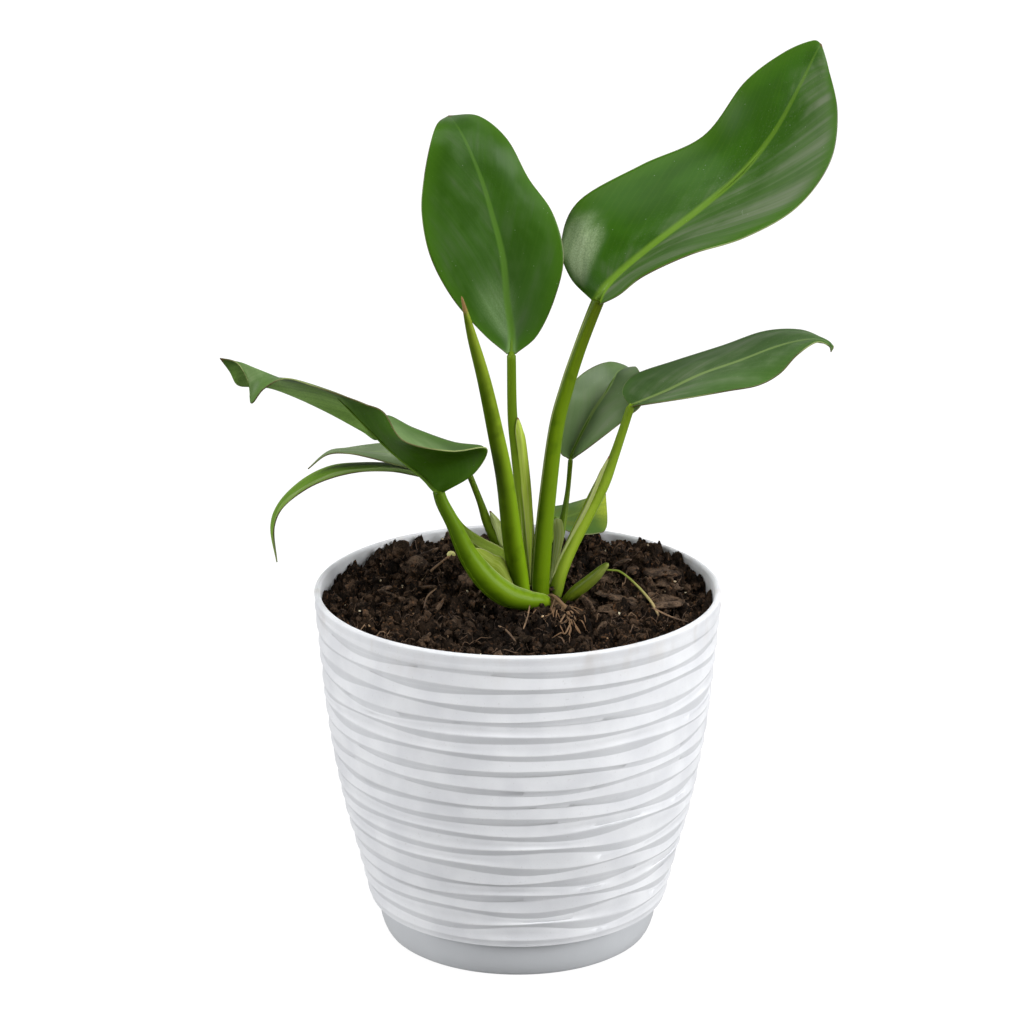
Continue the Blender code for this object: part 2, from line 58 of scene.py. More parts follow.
class Shade:
    """A socket of a node tree on which Python's arithmetic works, and which makes any other node."""

    def __init__(self, tree, socket=None):
        self.tree = tree
        self.socket = socket

    def node(self, kind, settings, sockets, out=0):
        """A new node: its settings are set first, then the values or links of its sockets."""
        made = self.tree.nodes.new("ShaderNode" + kind)
        for name, value in settings.items():
            setattr(made, name, value)
        for name, value in sockets.items():
            if isinstance(value, Shade):
                self.tree.links.new(value.socket, made.inputs[name])
            else:
                made.inputs[name].default_value = value
        return Shade(self.tree, made.outputs[out])

    def math(self, operation, *values):
        return self.node("Math", {"operation": operation}, dict(enumerate(values)))

    def __add__(self, other):
        return self.math("ADD", self, other)

    def __sub__(self, other):
        return self.math("SUBTRACT", self, other)

    def __mul__(self, other):
        return self.math("MULTIPLY", self, other)

    def __truediv__(self, other):
        return self.math("DIVIDE", self, other)

    def __radd__(self, other):
        return self.math("ADD", other, self)

    def __rsub__(self, other):
        return self.math("SUBTRACT", other, self)

    def __rmul__(self, other):
        return self.math("MULTIPLY", other, self)

    def __abs__(self):
        return self.math("ABSOLUTE", self)

    def part(self, axis):
        """One axis of a vector: 0, 1 or 2."""
        return self.node("SeparateXYZ", {}, {0: self}, out=axis)

    def here(self):
        """The place on the piece, in metres."""
        return self.node("TexCoord", {}, {}, out=3)

    def attribute(self, name):
        """A layer that the mesh keeps for each point."""
        return self.node("Attribute", {"attribute_name": name}, {}, out=1)

    def step(self, low, high):
        """0 below low, 1 above high and smooth between them; with low over high it falls."""
        ends = {"Value": self, "From Min": low, "From Max": high}
        return self.node("MapRange", {"interpolation_type": "SMOOTHSTEP"}, ends)

    def mix(self, none, full):
        """One colour where this field is 0 and the other where it is 1."""
        kind = {"data_type": "RGBA"}
        colours = [value if isinstance(value, Shade) else (*value, 1.0) for value in (none, full)]
        return self.node("Mix", kind, {0: self, 6: colours[0], 7: colours[1]}, out=2)

    def noise(self, place, scale, detail=3.0, stretch=None):
        """Cloudy values round 0.5 at a place, with scale in waves a metre, drawn out by stretch."""
        if stretch:
            place = self.node("VectorMath", {"operation": "MULTIPLY"}, {0: place, 1: stretch})
        return self.node("TexNoise", {}, {"Vector": place, "Scale": scale, "Detail": detail})


def finish(name, colour, roughness, constants=None):
    """A Principled material with these constants, and a Shade on its tree."""
    material = bpy.data.materials.new(name)
    material.use_nodes = True
    shader = material.node_tree.nodes["Principled BSDF"]
    shader.inputs["Base Color"].default_value = (*colour, 1.0)
    shader.inputs["Roughness"].default_value = roughness
    for socket, value in (constants or {}).items():
        shader.inputs[socket].default_value = value
    return material, Shade(material.node_tree)


def wire(shade, **fields):
    """Links fields to the Principled shader's sockets; bump takes a field of heights in millimetres."""
    shader = shade.tree.nodes["Principled BSDF"]
    for name, field in fields.items():
        if name == "bump":
            sockets = {"Height": field, "Distance": MM, "Strength": 1.0}
            shade.tree.links.new(shade.node("Bump", {}, sockets).socket, shader.inputs["Normal"])
        else:
            shade.tree.links.new(field.socket, shader.inputs[name.replace("_", " ").title()])


def mesh_of(name, shape):
    """The shape kept as a mesh of this name."""
    mesh = bpy.data.meshes.new(name)
    shape.to_mesh(mesh)
    shape.free()
    return mesh


def placed(name, data):
    """A new object in the scene, of a mesh, a light or a camera."""
    made = bpy.data.objects.new(name, data)
    bpy.context.scene.collection.objects.link(made)
    return made


FLOOR_SIZE = 30.0
floor_shape = bmesh.new()
bmesh.ops.create_grid(floor_shape, x_segments=1, y_segments=1, size=FLOOR_SIZE / 2)
floor = placed("floor", mesh_of("floor", floor_shape))
lit_floor = {"Emission Color": (1.0, 1.0, 1.0, 1.0), "Emission Strength": 0.93}
floor.data.materials.append(finish("pale_floor", (0.08, 0.08, 0.08), 0.9, lit_floor)[0])
floor.visible_diffuse = False
floor.visible_glossy = False

surround = bpy.data.worlds.new("surround")
bpy.context.scene.world = surround
surround.use_nodes = True
sky = Shade(surround.node_tree)
way = sky.node("TexCoord", {}, {})
behind = way.part(1).step(-0.7, 0.3)
glow = behind.mix((0.08, 0.08, 0.082), (0.36, 0.36, 0.365))
glow = way.part(2).step(0.1, -0.25).mix(glow, (0.42, 0.42, 0.42))
surround.node_tree.links.new(glow.socket, surround.node_tree.nodes["Background"].inputs["Color"])


def lamp(name, strength, bearing, height, spread):
    """A wide distant light from a bearing, clockwise from the front, and a height; all in degrees.

    Only lights in front are mirrored, so that the leaves seen at a flat angle keep their own green.
    """
    data = bpy.data.lights.new(name, "SUN")
    data.energy = strength
    data.angle = math.radians(spread)
    made = placed(name, data)
    made.rotation_euler = (math.radians(90 - height), 0, math.radians(-bearing))
    made.visible_glossy = abs(bearing) < 90


lamp("right_softbox", 3.3, -68, 22, 36)
lamp("left_softbox", 2.6, 70, 20, 36)
lamp("overhead", 1.6, -20, 70, 50)
lamp("back_fill", 0.9, 180, 30, 70)

camera = placed("camera", bpy.data.cameras.new("camera"))
camera.data.lens = 131.48
camera.data.sensor_width = 36.0
camera.data.clip_end = 60.0
camera.location = (-0.0027, -1.65, 0.742)
camera.rotation_euler = (math.radians(72.025), 0, 0)
bpy.context.scene.camera = camera
bpy.context.scene.view_settings.view_transform = "Standard"

# ---- Pot ----
# One moulded shell of white polypropylene, 2.4 mm thick, tapering to its foot. Wavy ribs run round its
# outside up to a smooth band under the rolled lip. Its floor, with six drain holes, rests on the saucer.
POT_SIDE = ((70.3, 18.5), (75.3, 40.0), (82.4, 68.0), (88.8, 105.0), (93.0, 147.0), (94.6, 167.0))
POT_WALL = 2.4
POT_SIDES = 320
LIP_RADIUS = 1.5
RIM_RADIUS = 95.0
RIM_HEIGHT = 170.0
RIBS = 17
RIB_TOP = 162.6
RIB_PITCH = 8.3
RIB_STEPS = 12
UNDER_STEPS = 5
UNDER_SHARE = 0.36
RIB_STAND = 0.5
RIB_DEPTH = 3.7
RIB_FOOT = 20
RIB_FADE = 2
RIB_EASE = 0.8
FOOT_HEIGHTS = (18.5, 19.3, 20.4)
BAND_HEIGHTS = (164.8, 165.6, 166.4, 167.0)
FLOOR_BOTTOM = 24.0
FLOOR_TOP = 26.6
INSIDE_HEIGHTS = (160, 145, 130, 105, 85, 70, 55, 40, FLOOR_TOP, FLOOR_BOTTOM, 20, 18.7)
DRAIN_HOLES = 6
DRAIN_RADIUS = 4.0
DRAIN_CIRCLE = 42.0


def along(points, share):
    """The place at a share, 0 to 1, of a smooth curve through the points."""
    last = len(points) - 1
    at = min(max(share, 0) * last, last - 1e-6)
    first = int(at)
    t = at - first
    b, c = Vector(points[first]), Vector(points[first + 1])
    a = Vector(points[first - 1]) if first > 0 else b * 2 - c
    d = Vector(points[first + 2]) if first + 2 <= last else c * 2 - b
    straight = b * 2 + (c - a) * t
    bend = (a * 2 - b * 5 + c * 4 - d) * t**2
    twist = (b * 3 - a - c * 3 + d) * t**3
    return (straight + bend + twist) / 2


def spun(profile, sides):
    """A closed profile of (radius, height) turned about the upright axis into a smooth shape."""
    shape = bmesh.new()
    ring = [shape.verts.new((radius * MM, 0, height * MM)) for radius, height in profile]
    for low, high in zip(ring, ring[1:] + ring[:1]):
        if low.co.x + high.co.x > 0:
            shape.edges.new((low, high))
    geometry = shape.verts[:] + shape.edges[:]
    axis = (0, 0, 1)
    bmesh.ops.spin(
        shape, geom=geometry, cent=(0, 0, 0), axis=axis, angle=math.tau, steps=sides, use_merge=True
    )
    bmesh.ops.remove_doubles(shape, verts=shape.verts, dist=1e-6)
    bmesh.ops.recalc_face_normals(shape, faces=shape.faces)
    return shape


def piece(name, shape, finishes, slot, *nodes, sharp):
    """A finished piece of the plant, which takes the place of its CAD nodes."""
    mesh = mesh_of(name, shape)
    mesh.shade_smooth()
    mesh.set_sharp_from_angle(angle=math.radians(sharp))
    for material in finishes:
        mesh.materials.append(material)
    made = placed(name, mesh)
    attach(made, "root")
    if nodes:
        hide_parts(*nodes)
    return made


@functools.cache
def pot_radius(height):
    """The outside radius of the pot at a height, without its ribs."""
    low, high = 0.0, 1.0
    for _ in range(24):
        middle = (low + high) / 2
        if along([(*point, 0) for point in POT_SIDE], middle).y < height:
            low = middle
        else:
            high = middle
    return along([(*point, 0) for point in POT_SIDE], low).x


@functools.cache
def rib_lines(turn):
    """Each rib's crest height, hollow height and depth at a turn round the pot, from the top down."""
    crests = []
    for rib in range(RIBS + 1):
        wander = 0.6 * math.sin(2 * turn + 1.1 * rib) + 0.65 * math.sin(4 * turn + 2.4 * rib)
        wander += 0.4 * math.sin(6 * turn - 3.7 * rib)
        crests.append(RIB_TOP - rib * RIB_PITCH + wander * min(1, RIBS - rib))
    lines = []
    for rib, (crest, below) in enumerate(zip(crests, crests[1:])):
        swell = 0.15 * math.sin(5 * turn + 3.9 * rib + 1.0) + 0.09 * math.sin(7 * turn - 2.2 * rib)
        under = UNDER_SHARE + swell
        depth = RIB_DEPTH * under * (1 - under) * (crest - below) / RIB_PITCH
        lines.append((crest, crest + (below - crest) * under, depth))
    return lines + [(crests[-1], crests[-1], 0)]


def eased(share):
    """A share pulled towards 0 and 1, which puts rows close to a crest or a hollow and rounds it tightly."""
    return share - RIB_EASE * math.sin(math.tau * share) / math.tau


pot_profile, steps_of_height = [], {}
for height in FOOT_HEIGHTS:
    pot_profile.append((pot_radius(height), height))
for step in reversed(range(RIBS * RIB_STEPS + 1)):
    height = RIB_TOP - step * RIB_PITCH / RIB_STEPS
    pot_profile.append((pot_radius(height), height))
    steps_of_height[round(height, 2)] = step
for height in BAND_HEIGHTS:
    pot_profile.append((pot_radius(height), height))
for step in range(1, 18):
    turn = math.radians(10 * step)
    across = RIM_RADIUS - LIP_RADIUS + LIP_RADIUS * math.cos(turn)
    pot_profile.append((across, RIM_HEIGHT - LIP_RADIUS + LIP_RADIUS * math.sin(turn)))
for height in INSIDE_HEIGHTS:
    pot_profile.append((pot_radius(height) - POT_WALL, height))
pot_shape = spun(pot_profile, POT_SIDES)
relief = pot_shape.verts.layers.float_vector.new("relief")
for vert in pot_shape.verts:
    height = round(vert.co.z / MM, 2)
    step = steps_of_height.get(height)
    if step is None or math.hypot(vert.co.x, vert.co.y) / MM < pot_radius(height) - 1:
        continue
    rib, share = divmod(step / RIB_STEPS, 1)
    lines = rib_lines(round(math.atan2(vert.co.y, vert.co.x), 5))
    crest, hollow, depth = lines[int(rib)]
    under_part = UNDER_STEPS / RIB_STEPS
    if share < under_part:
        share = eased(share / under_part)
        height, back, under = crest + (hollow - crest) * share, depth * share, share
    else:
        share = eased((share - under_part) / (1 - under_part))
        height = hollow + (lines[int(rib) + 1][0] - hollow) * share
        back, under = depth * (1 - share), 0.0
    fade = max(0, min(1, (height - RIB_FOOT) / RIB_FADE))
    radius = pot_radius(round(height, 1)) + (RIB_STAND - back) * fade
    vert[relief] = (back * fade, under * fade, 0)
    outward = vert.co.xy.normalized()
    vert.co = (outward.x * radius * MM, outward.y * radius * MM, height * MM)


def add_disc(shape, radius, depth, sides, place):
    """Adds a round block to a shape."""
    bmesh.ops.create_cone(
        shape, cap_ends=True, segments=sides, radius1=radius, radius2=radius, depth=depth, matrix=place
    )


floor_disc = bmesh.new()
floor_radius = (pot_radius(FLOOR_TOP) - POT_WALL + 0.5) * MM
floor_depth = (FLOOR_TOP - FLOOR_BOTTOM) * MM
floor_middle = Matrix.Translation((0, 0, FLOOR_BOTTOM * MM + floor_depth / 2))
add_disc(floor_disc, floor_radius, floor_depth, 96, floor_middle)
drills = bmesh.new()
to_circle = Matrix.Translation((DRAIN_CIRCLE * MM, 0, 0))
for hole in range(DRAIN_HOLES):
    place = Matrix.Rotation(math.tau * hole / DRAIN_HOLES, 4, "Z") @ to_circle
    add_disc(drills, DRAIN_RADIUS * MM, floor_depth * 3, 32, floor_middle @ place)
disc = placed("disc", mesh_of("floor_disc", floor_disc))
drill = placed("drill", mesh_of("drills", drills))
saw = disc.modifiers.new("holes", "BOOLEAN")
saw.object = drill
saw.solver = "EXACT"
bpy.context.view_layer.update()
drilled = disc.evaluated_get(bpy.context.evaluated_depsgraph_get()).to_mesh()
pot_shape.from_mesh(drilled)
bpy.data.objects.remove(disc)
bpy.data.objects.remove(drill)

pot_white, white = finish("white_polypropylene", (0.7, 0.71, 0.74), 0.5, {"Specular IOR Level": 0.2})
place = white.here()
cloud = white.noise(place, 60, detail=5)
grime = white.noise(place, 900, detail=2).step(0.66, 0.74)
smear = white.noise(place, 25, stretch=(1, 1, 4))
tone = cloud.step(0.3, 0.7).mix((0.62, 0.63, 0.655), (0.69, 0.70, 0.72))
# Painted shade: the ribs' downward under-facets are tinted a darker blue-grey.
shaded = white.attribute("relief").part(1).step(0.05, 0.3)
tone = (shaded * 0.3).mix(tone, (0.57, 0.585, 0.61))
near_lip = place.part(2).step(0.150, 0.168)
dusty = near_lip * white.noise(place, 75, detail=6, stretch=(1, 1, 0.4)).step(0.5, 0.66)
tone = (dusty * 0.25).mix(tone, (0.46, 0.41, 0.36))
wire(
    white,
    base_color=(grime * 0.3).mix(tone, (0.45, 0.44, 0.43)),
    roughness=0.5 + smear * 0.15,
    bump=white.noise(place, 1400) * 0.015,
)
piece("ribbed_pot", pot_shape, [pot_white], "pot_plastic", "pot", sharp=60)

# ---- Saucer ----
# A plain dish of grey polypropylene that clips under the pot and holds what drains out of it.
# Its wall is 2.2 mm thick and leans out, and its flat foot is what the whole plant stands on.
SAUCER_WALL = 2.2
saucer_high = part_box("saucer")[1]
saucer_radius = saucer_high.x / MM
saucer_top = saucer_high.z / MM
saucer_profile = [
    (0, 0),
    (saucer_radius - 6.6, 0),
    (saucer_radius - 5.2, 0.3),
    (saucer_radius - 4.0, 1.1),
    (saucer_radius - 3.2, 2.4),
    (saucer_radius - 2.2, 4.6),
    (saucer_radius - 1.3, 7.5),
    (saucer_radius - 0.5, 12),
    (saucer_radius - 0.1, 17),
    (saucer_radius, saucer_top - 0.6),
    (saucer_radius - 0.6, saucer_top),
    (saucer_radius - SAUCER_WALL, saucer_top),
    (saucer_radius - SAUCER_WALL - 1, 8),
    (saucer_radius - 7, SAUCER_WALL + 0.7),
    (saucer_radius - 9, SAUCER_WALL),
    (0, SAUCER_WALL),
]
saucer_shape = spun(saucer_profile, 200)
saucer_grey, grey = finish("grey_polypropylene", (0.42, 0.44, 0.46), 0.4)
place = grey.here()
wire(
    grey,
    base_color=grey.noise(place, 70, detail=4).mix((0.44, 0.455, 0.475), (0.50, 0.515, 0.535)),
    roughness=0.34 + grey.noise(place, 120) * 0.16,
    bump=grey.noise(place, 1600) * 0.02,
)
piece("clip_in_saucer", saucer_shape, [saucer_grey], "saucer_plastic", "saucer", sharp=35)

# ---- Potting soil ----
# Dark moist peat in lumps of up to a centimetre with deep cracks between them, nearly level with the
# rim. It is heaped at the back, most at the right, and hollow in front of the stem, and it carries
# loose crumbs, bark chips, fibres, twigs and pale grit.
SOIL_LEVEL = 165.0
SOIL_SLOPE = 0.045
SOIL_CELLS = 290
SOIL_GAP = 0.3
SOIL_SEED = 1795409602
LUMP_BASE = 1.0
# Each kind of lump has its size across, its place in the noise, how high it stands and how deep it cracks.
LUMP_KINDS = ((9.0, 1.0, 3.0, 4.0), (3.8, 20.0, 1.6, 2.0), (1.5, 40.0, 0.45, 0.5))
WALL_FROM = 0.93
WALL_SHARE = 0.07
WALL_DROP = 1.6
FIBRE_LIFT = 1.0
soil_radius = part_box("potting_soil")[1].x / MM
# Unseeded, noise_vector is offset by the clock, and the lumps would move from run to run.
noise.seed_set(SOIL_SEED)


def mound(x, y, height, middle, spread):
    """How high a rounded mound of this height and spread stands at a place."""
    return height * math.exp(-((x - middle[0]) ** 2 + (y - middle[1]) ** 2) / spread**2)


def soil_height(x, y):
    """The mean height of the soil: a slope, a heap at the back right, a low one opposite and a hollow."""
    heaps = mound(x, y, 4.6, (53, 50), 28) + mound(x, y, 1.8, (-55, 45), 30)
    return SOIL_LEVEL + SOIL_SLOPE * y + heaps - mound(x, y, 5.0, (-10, -26), 13)


def lumps(x, y, size, seed):
    """A field of broken lumps about this size across: how high the lump stands and how near its edge is."""
    bent = Vector((x, y, seed)) / size
    bent += noise.noise_vector(bent * 1.7) * 0.35
    near, centres = noise.voronoi(bent, distance_metric="DISTANCE", exponent=2.5)
    edge = min(1.0, (near[1] - near[0]) * 2.6)
    lean = noise.cell_vector(centres[0] * 7.3)
    away = bent - centres[0]
    return noise.cell(centres[0] * 5.1) + lean.xy.dot(away.xy) * 1.5, edge


def soil_top(x, y):
    """The height of the soil's broken surface, from lumps of three sizes with cracks between them."""
    height = soil_height(x, y) - LUMP_BASE
    for size, seed, rise, crack in LUMP_KINDS:
        stand, edge = lumps(x, y, size, seed)
        height += stand * rise - (1 - edge) ** 2 * crack
    return height + noise.fractal(Vector((x, y, 3)) * 0.9, 0.6, 2.2, 3) * 0.4


soil_shape = bmesh.new()
bmesh.ops.create_grid(soil_shape, x_segments=SOIL_CELLS, y_segments=SOIL_CELLS, size=1.0)
for vert in soil_shape.verts:
    x = vert.co.x * math.sqrt(1 - vert.co.y**2 / 2) * soil_radius
    y = vert.co.y * math.sqrt(1 - vert.co.x**2 / 2) * soil_radius
    near_wall = max(0, (math.hypot(x, y) / soil_radius - WALL_FROM) / WALL_SHARE)
    level = soil_top(x, y) - WALL_DROP * near_wall**2
    vert.co = Vector((x, y, level)) * MM
border = [edge for edge in soil_shape.edges if edge.is_boundary]
for height in (145, 105, 70, 40, FLOOR_TOP + SOIL_GAP):
    skirt = bmesh.ops.extrude_edge_only(soil_shape, edges=border)["geom"]
    inside = pot_radius(height) - POT_WALL - SOIL_GAP
    for vert in (part for part in skirt if isinstance(part, bmesh.types.BMVert)):
        vert.co.xy = vert.co.xy.normalized() * inside * MM
        vert.co.z = height * MM
    border = [part for part in skirt if isinstance(part, bmesh.types.BMEdge) and part.is_boundary]
bmesh.ops.contextual_create(soil_shape, geom=border)
bmesh.ops.recalc_face_normals(soil_shape, faces=soil_shape.faces)


def earth_finish(name, dark, light, roughness=0.92):
    """Moist earth: near black, mottled with brown and rough, with reddish bits, and darkened by painted
    shade in the hollow.
    """
    material, earth = finish(name, dark, roughness, {"Specular IOR Level": 0.08})
    place = earth.here()
    cloud = earth.noise(place, 170, detail=6)
    grain = earth.noise(place, 800, detail=5)
    speck = earth.noise(place, 2100, detail=2)
    bits = earth.noise(place, 480, detail=3).step(0.60, 0.68)
    skin = (cloud * 0.45 + grain * 0.3 + speck * 0.25).step(0.43, 0.58).mix(dark, light)
    skin = (bits * 0.55).mix(skin, (0.15, 0.075, 0.035))
    across, ahead = place.part(0) / 0.045, (place.part(1) + 0.040) / 0.035
    # Painted shade: a round patch in front of the stem, over the hollow, is darkened towards the darkest
    # colour.
    painted_hollow_shade = (across * across + ahead * ahead).step(1.2, 0.2)
    wire(
        earth,
        base_color=(painted_hollow_shade * 0.6).mix(skin, dark),
        roughness=roughness - grain * 0.25,
        bump=grain * 0.6 + cloud * 0.6 + speck * 0.3,
    )
    return material


peat = earth_finish("moist_peat", (0.0035, 0.0022, 0.0014), (0.028, 0.017, 0.010))
piece("potting_mix", soil_shape, [peat], "soil", "potting_soil", sharp=180)

scatter = random.Random(7)


def scattered(reach=1.0):
    """A random place over the soil in millimetres, evenly spread within a share of its radius."""
    turn, out = scatter.uniform(0, math.tau), math.sqrt(scatter.random()) * soil_radius * reach
    return out * math.cos(turn), out * math.sin(turn)


def crumb(small, large, flat, reach, sunk, detail, heart=(0, 0), tilt=math.tau):
    """One broken bit, as flat as asked and tilted at random, lying on the soil round a heart.

    Its place across the pot is also what turns it, so that no two lie alike.
    """
    x, y = (part + shift for part, shift in zip(scattered(reach), heart))
    size = small + (large - small) * scatter.random() ** 2.5
    stretch = (scatter.uniform(0.7, 1.3), scatter.uniform(0.6, 1.0), flat * scatter.uniform(0.7, 1.2), 1)
    axis = Vector((scatter.gauss(0, 1), scatter.gauss(0, 1), scatter.gauss(0, 1))).normalized()
    middle = Vector((x, y, soil_top(x, y) + size * (0.5 - sunk) * flat)) * MM
    turn = Matrix.Rotation(scatter.uniform(0, tilt), 4, axis) @ Matrix.Rotation(x, 4, "Z")
    place = Matrix.Translation(middle) @ turn @ Matrix.Diagonal(stretch)
    bit = bmesh.new()
    bmesh.ops.create_uvsphere(
        bit, u_segments=detail, v_segments=detail - 1, radius=size / 2 * MM, matrix=place
    )
    for vert in bit.verts:
        wobble = noise.noise(vert.co / MM / size * 2.6 + Vector((x, y, 0)))
        vert.co = middle + (vert.co - middle) * (1 + 0.75 * wobble)
    return bit


def heap(*kinds):
    """Many small shapes in one. Each kind is a count, what makes one of them, and what it is made from."""
    shape = bmesh.new()
    store = bpy.data.meshes.new("store")
    for count, make, *facts in kinds:
        for _ in range(count):
            bit = make(*facts)
            bit.to_mesh(store)
            bit.free()
            shape.from_mesh(store)
    bpy.data.meshes.remove(store)
    return shape


crumb_peat = earth_finish("crumb_peat", (0.005, 0.0032, 0.002), (0.075, 0.046, 0.028))
crumbs = heap((3400, crumb, 0.9, 5.2, 0.75, 0.955, 0.25, 6))
piece("soil_crumbs", crumbs, [crumb_peat], "soil", sharp=24)
bark = earth_finish("bark_chip", (0.022, 0.014, 0.009), (0.13, 0.085, 0.055), roughness=0.8)
chips = heap(
    (80, crumb, 4.0, 13.0, 0.28, 0.88, 0.05, 12),
    (26, crumb, 9.0, 21.0, 0.17, 0.29, -0.3, 14, (55, 8), 0.45),
)
piece("soil_bark_chips", chips, [bark], "soil", sharp=30)
grit_pale, grit = finish("pale_grit", (0.55, 0.47, 0.33), 0.7)
place = grit.here()
wire(grit, base_color=grit.noise(place, 160).step(0.4, 0.6).mix((0.62, 0.55, 0.38), (0.36, 0.22, 0.11)))
piece("soil_grit", heap((170, crumb, 0.5, 1.7, 0.6, 0.95, -0.2, 5)), [grit_pale], "soil", sharp=60)


def resting_height(x, y):
    """Where a fibre lies: half-way between the soil's mean height and its lumps."""
    return (soil_top(x, y) + soil_height(x, y)) / 2


def closed(shape, sides, near):
    """The shape with points this near each other merged, its ends filled and its faces outwards."""
    bmesh.ops.remove_doubles(shape, verts=shape.verts, dist=near)
    bmesh.ops.holes_fill(shape, edges=shape.edges, sides=sides)
    bmesh.ops.recalc_face_normals(shape, faces=shape.faces)
    return shape


def strand(short, long, thin, thick, bend):
    """One crooked fibre, of a length and a radius within these, that lies on the soil."""
    length, radius = scatter.uniform(short, long), scatter.uniform(thin, thick)
    heading = scatter.uniform(0, math.tau)
    runs, sides = 5, 5
    shape = bmesh.new()
    bmesh.ops.create_grid(shape, x_segments=sides, y_segments=runs, size=1.0)
    spots, spot = [], Vector((*scattered(0.93 - long / 200), 0))
    for _ in range(runs + 1):
        spots.append(Vector((spot.x, spot.y, resting_height(spot.x, spot.y) + FIBRE_LIFT)))
        heading += scatter.uniform(-bend, bend)
        spot += Vector((math.cos(heading), math.sin(heading), 0)) * length / runs
    for vert in shape.verts:
        row = round((vert.co.y + 1) / 2 * runs)
        forward = (spots[min(row + 1, runs)] - spots[max(row - 1, 0)]).normalized()
        beside = forward.cross(Vector((0, 0, 1))).normalized()
        turn = vert.co.x * math.pi
        girth = radius * (0.35 if row in (0, runs) else 1)
        out = beside * math.cos(turn) + beside.cross(forward) * math.sin(turn)
        vert.co = (spots[row] + out * girth) * MM
    return closed(shape, sides, 1e-7)


def fibre_finish(name, dark, light):
    """Dry plant fibre, lighter in places."""
    material, fibre = finish(name, light, 0.8)
    place = fibre.here()
    wire(fibre, base_color=fibre.noise(place, 90, detail=3).step(0.35, 0.65).mix(dark, light))
    return material


peat_fibre = fibre_finish("peat_fibre", (0.035, 0.020, 0.012), (0.13, 0.075, 0.04))
dry_twig = fibre_finish("dry_twig", (0.07, 0.04, 0.022), (0.21, 0.125, 0.065))
piece("soil_fibres", heap((380, strand, 3, 9, 0.09, 0.2, 0.45)), [peat_fibre], "soil", sharp=80)
piece("soil_twigs", heap((30, strand, 5, 12, 0.16, 0.36, 0.2)), [dry_twig], "soil", sharp=80)

# ---- Stem ----
# The short thick stem that every leaf grows from. Only its scarred brown-green crown shows above
# the soil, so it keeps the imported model's own shape and takes only a finish here.
stem_bark, stem = finish("scarred_stem", (0.06, 0.05, 0.02), 0.7)
place = stem.here()
scars = stem.noise(place, 260, detail=5, stretch=(1, 1, 2.5))
patches = stem.noise(place, 90, detail=2)
wire(
    stem,
    base_color=(scars * 0.6 + patches * 0.4).step(0.38, 0.62).mix((0.045, 0.03, 0.015), (0.13, 0.13, 0.04)),
    roughness=0.6 + scars * 0.25,
    bump=scars * 0.8,
)
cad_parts["stem_base"].data.materials.clear()
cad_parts["stem_base"].data.materials.append(stem_bark)

# ---- Stalks ----
# Fleshy leaf stalks, 2 to 11 mm thick, that grow from the short stem. Most are boat-shaped at the
# foot, where thin pale lips stand up on both sides of a channel that once clasped the next leaf.
# Each is a line of points with the stalk's radius there, from the foot up.
LEFT_FRONT_STALK = (
    (13, -4, 160, 3.2),
    (11, -8, 165.5, 3.6),
    (3.5, -11.5, 167.5, 4.9),
    (-6, -14.5, 171.5, 5.7),
    (-15.5, -17, 180.5, 5.4),
    (-23.5, -19, 193, 4.4),
    (-29.5, -21, 207.5, 3.4),
    (-34.5, -22, 218, 3.0),
    (-36.5, -22, 224.5, 2.7),
)
NEW_LEAF = (
    (2.5, -1, 161, 3.2),
    (2, -1.5, 167, 3.8),
    (0.5, -1.5, 175, 4.5),
    (-1, -2.5, 184, 4.8),
    (-3, -4, 199, 4.6),
    (-6, -6.5, 224.5, 4.1),
    (-10.5, -9, 249, 3.7),
    (-15.5, -11, 273.5, 3.1),
    (-21, -12.5, 295, 2.2),
    (-25.5, -13.5, 313.5, 0.4),
)
TALL_RIGHT_STALK = (
    (10.5, 3.5, 158, 3.7),
    (10.5, 2.7, 165, 4.2),
    (10.5, 3, 176, 4.6),
    (13, 4.5, 207, 4.3),
    (17.5, 8.5, 244, 3.8),
    (22.5, 11, 264, 3.5),
    (28, 13, 281, 3.2),
    (33.5, 15, 295.5, 3.1),
    (37, 16, 304, 3.0),
)
CENTRE_STALK = (
    (5, 10, 160, 2.8),
    (5, 10, 168, 3.0),
    (4.5, 10.5, 187, 3.4),
    (3.5, 11.5, 204, 3.5),
    (1.5, 12, 218.5, 3.4),
    (-0.5, 12.5, 233, 2.9),
    (-2.5, 13, 249.5, 2.3),
    (-3, 14, 280, 2.1),
)
RIGHT_MIDDLE_STALK = (
    (17, 6, 159, 2.3),
    (18.5, 6, 166, 2.7),
    (20.5, 7.5, 175, 3.0),
    (25.5, 10, 187, 3.0),
    (34, 14, 204, 3.3),
    (40, 17, 216, 3.3),
    (45, 19, 228, 2.3),
    (53, 22, 252.5, 1.9),
)
BACK_RIGHT_STALK = (
    (13.5, 12, 160, 2.2),
    (15, 13, 167, 2.3),
    (17.5, 17, 180, 2.4),
    (20.5, 23, 190.5, 2.0),
    (23.5, 32, 206, 1.2),
    (25, 36, 222, 1.2),
)
LEFT_UPPER_STALK = (
    (1, 14, 161, 2.2),
    (0, 15, 170, 2.4),
    (-5, 15.5, 180, 2.9),
    (-10, 16.5, 187.5, 2.8),
    (-14.5, 18, 196.5, 2.3),
    (-18, 19.5, 206.5, 1.6),
    (-25, 22.5, 224, 1.4),
)
LEFT_DROOPING_STALK = (
    (-1.5, 5, 162, 2.1),
    (-2, 7, 173, 2.3),
    (-7, 8.5, 182, 2.9),
    (-18.5, 10, 188.5, 2.8),
    (-28, 9, 197, 2.5),
    (-36, 8, 212, 2.0),
    (-41.5, 7.5, 221.5, 1.6),
)
BACK_LOW_STALK = (
    (7.5, 15.5, 160, 1.9),
    (8, 18, 166, 2.0),
    (11, 23, 175.5, 2.1),
    (15, 31, 183, 1.9),
    (18, 42, 187, 1.5),
    (19, 51, 186, 1.3),
)
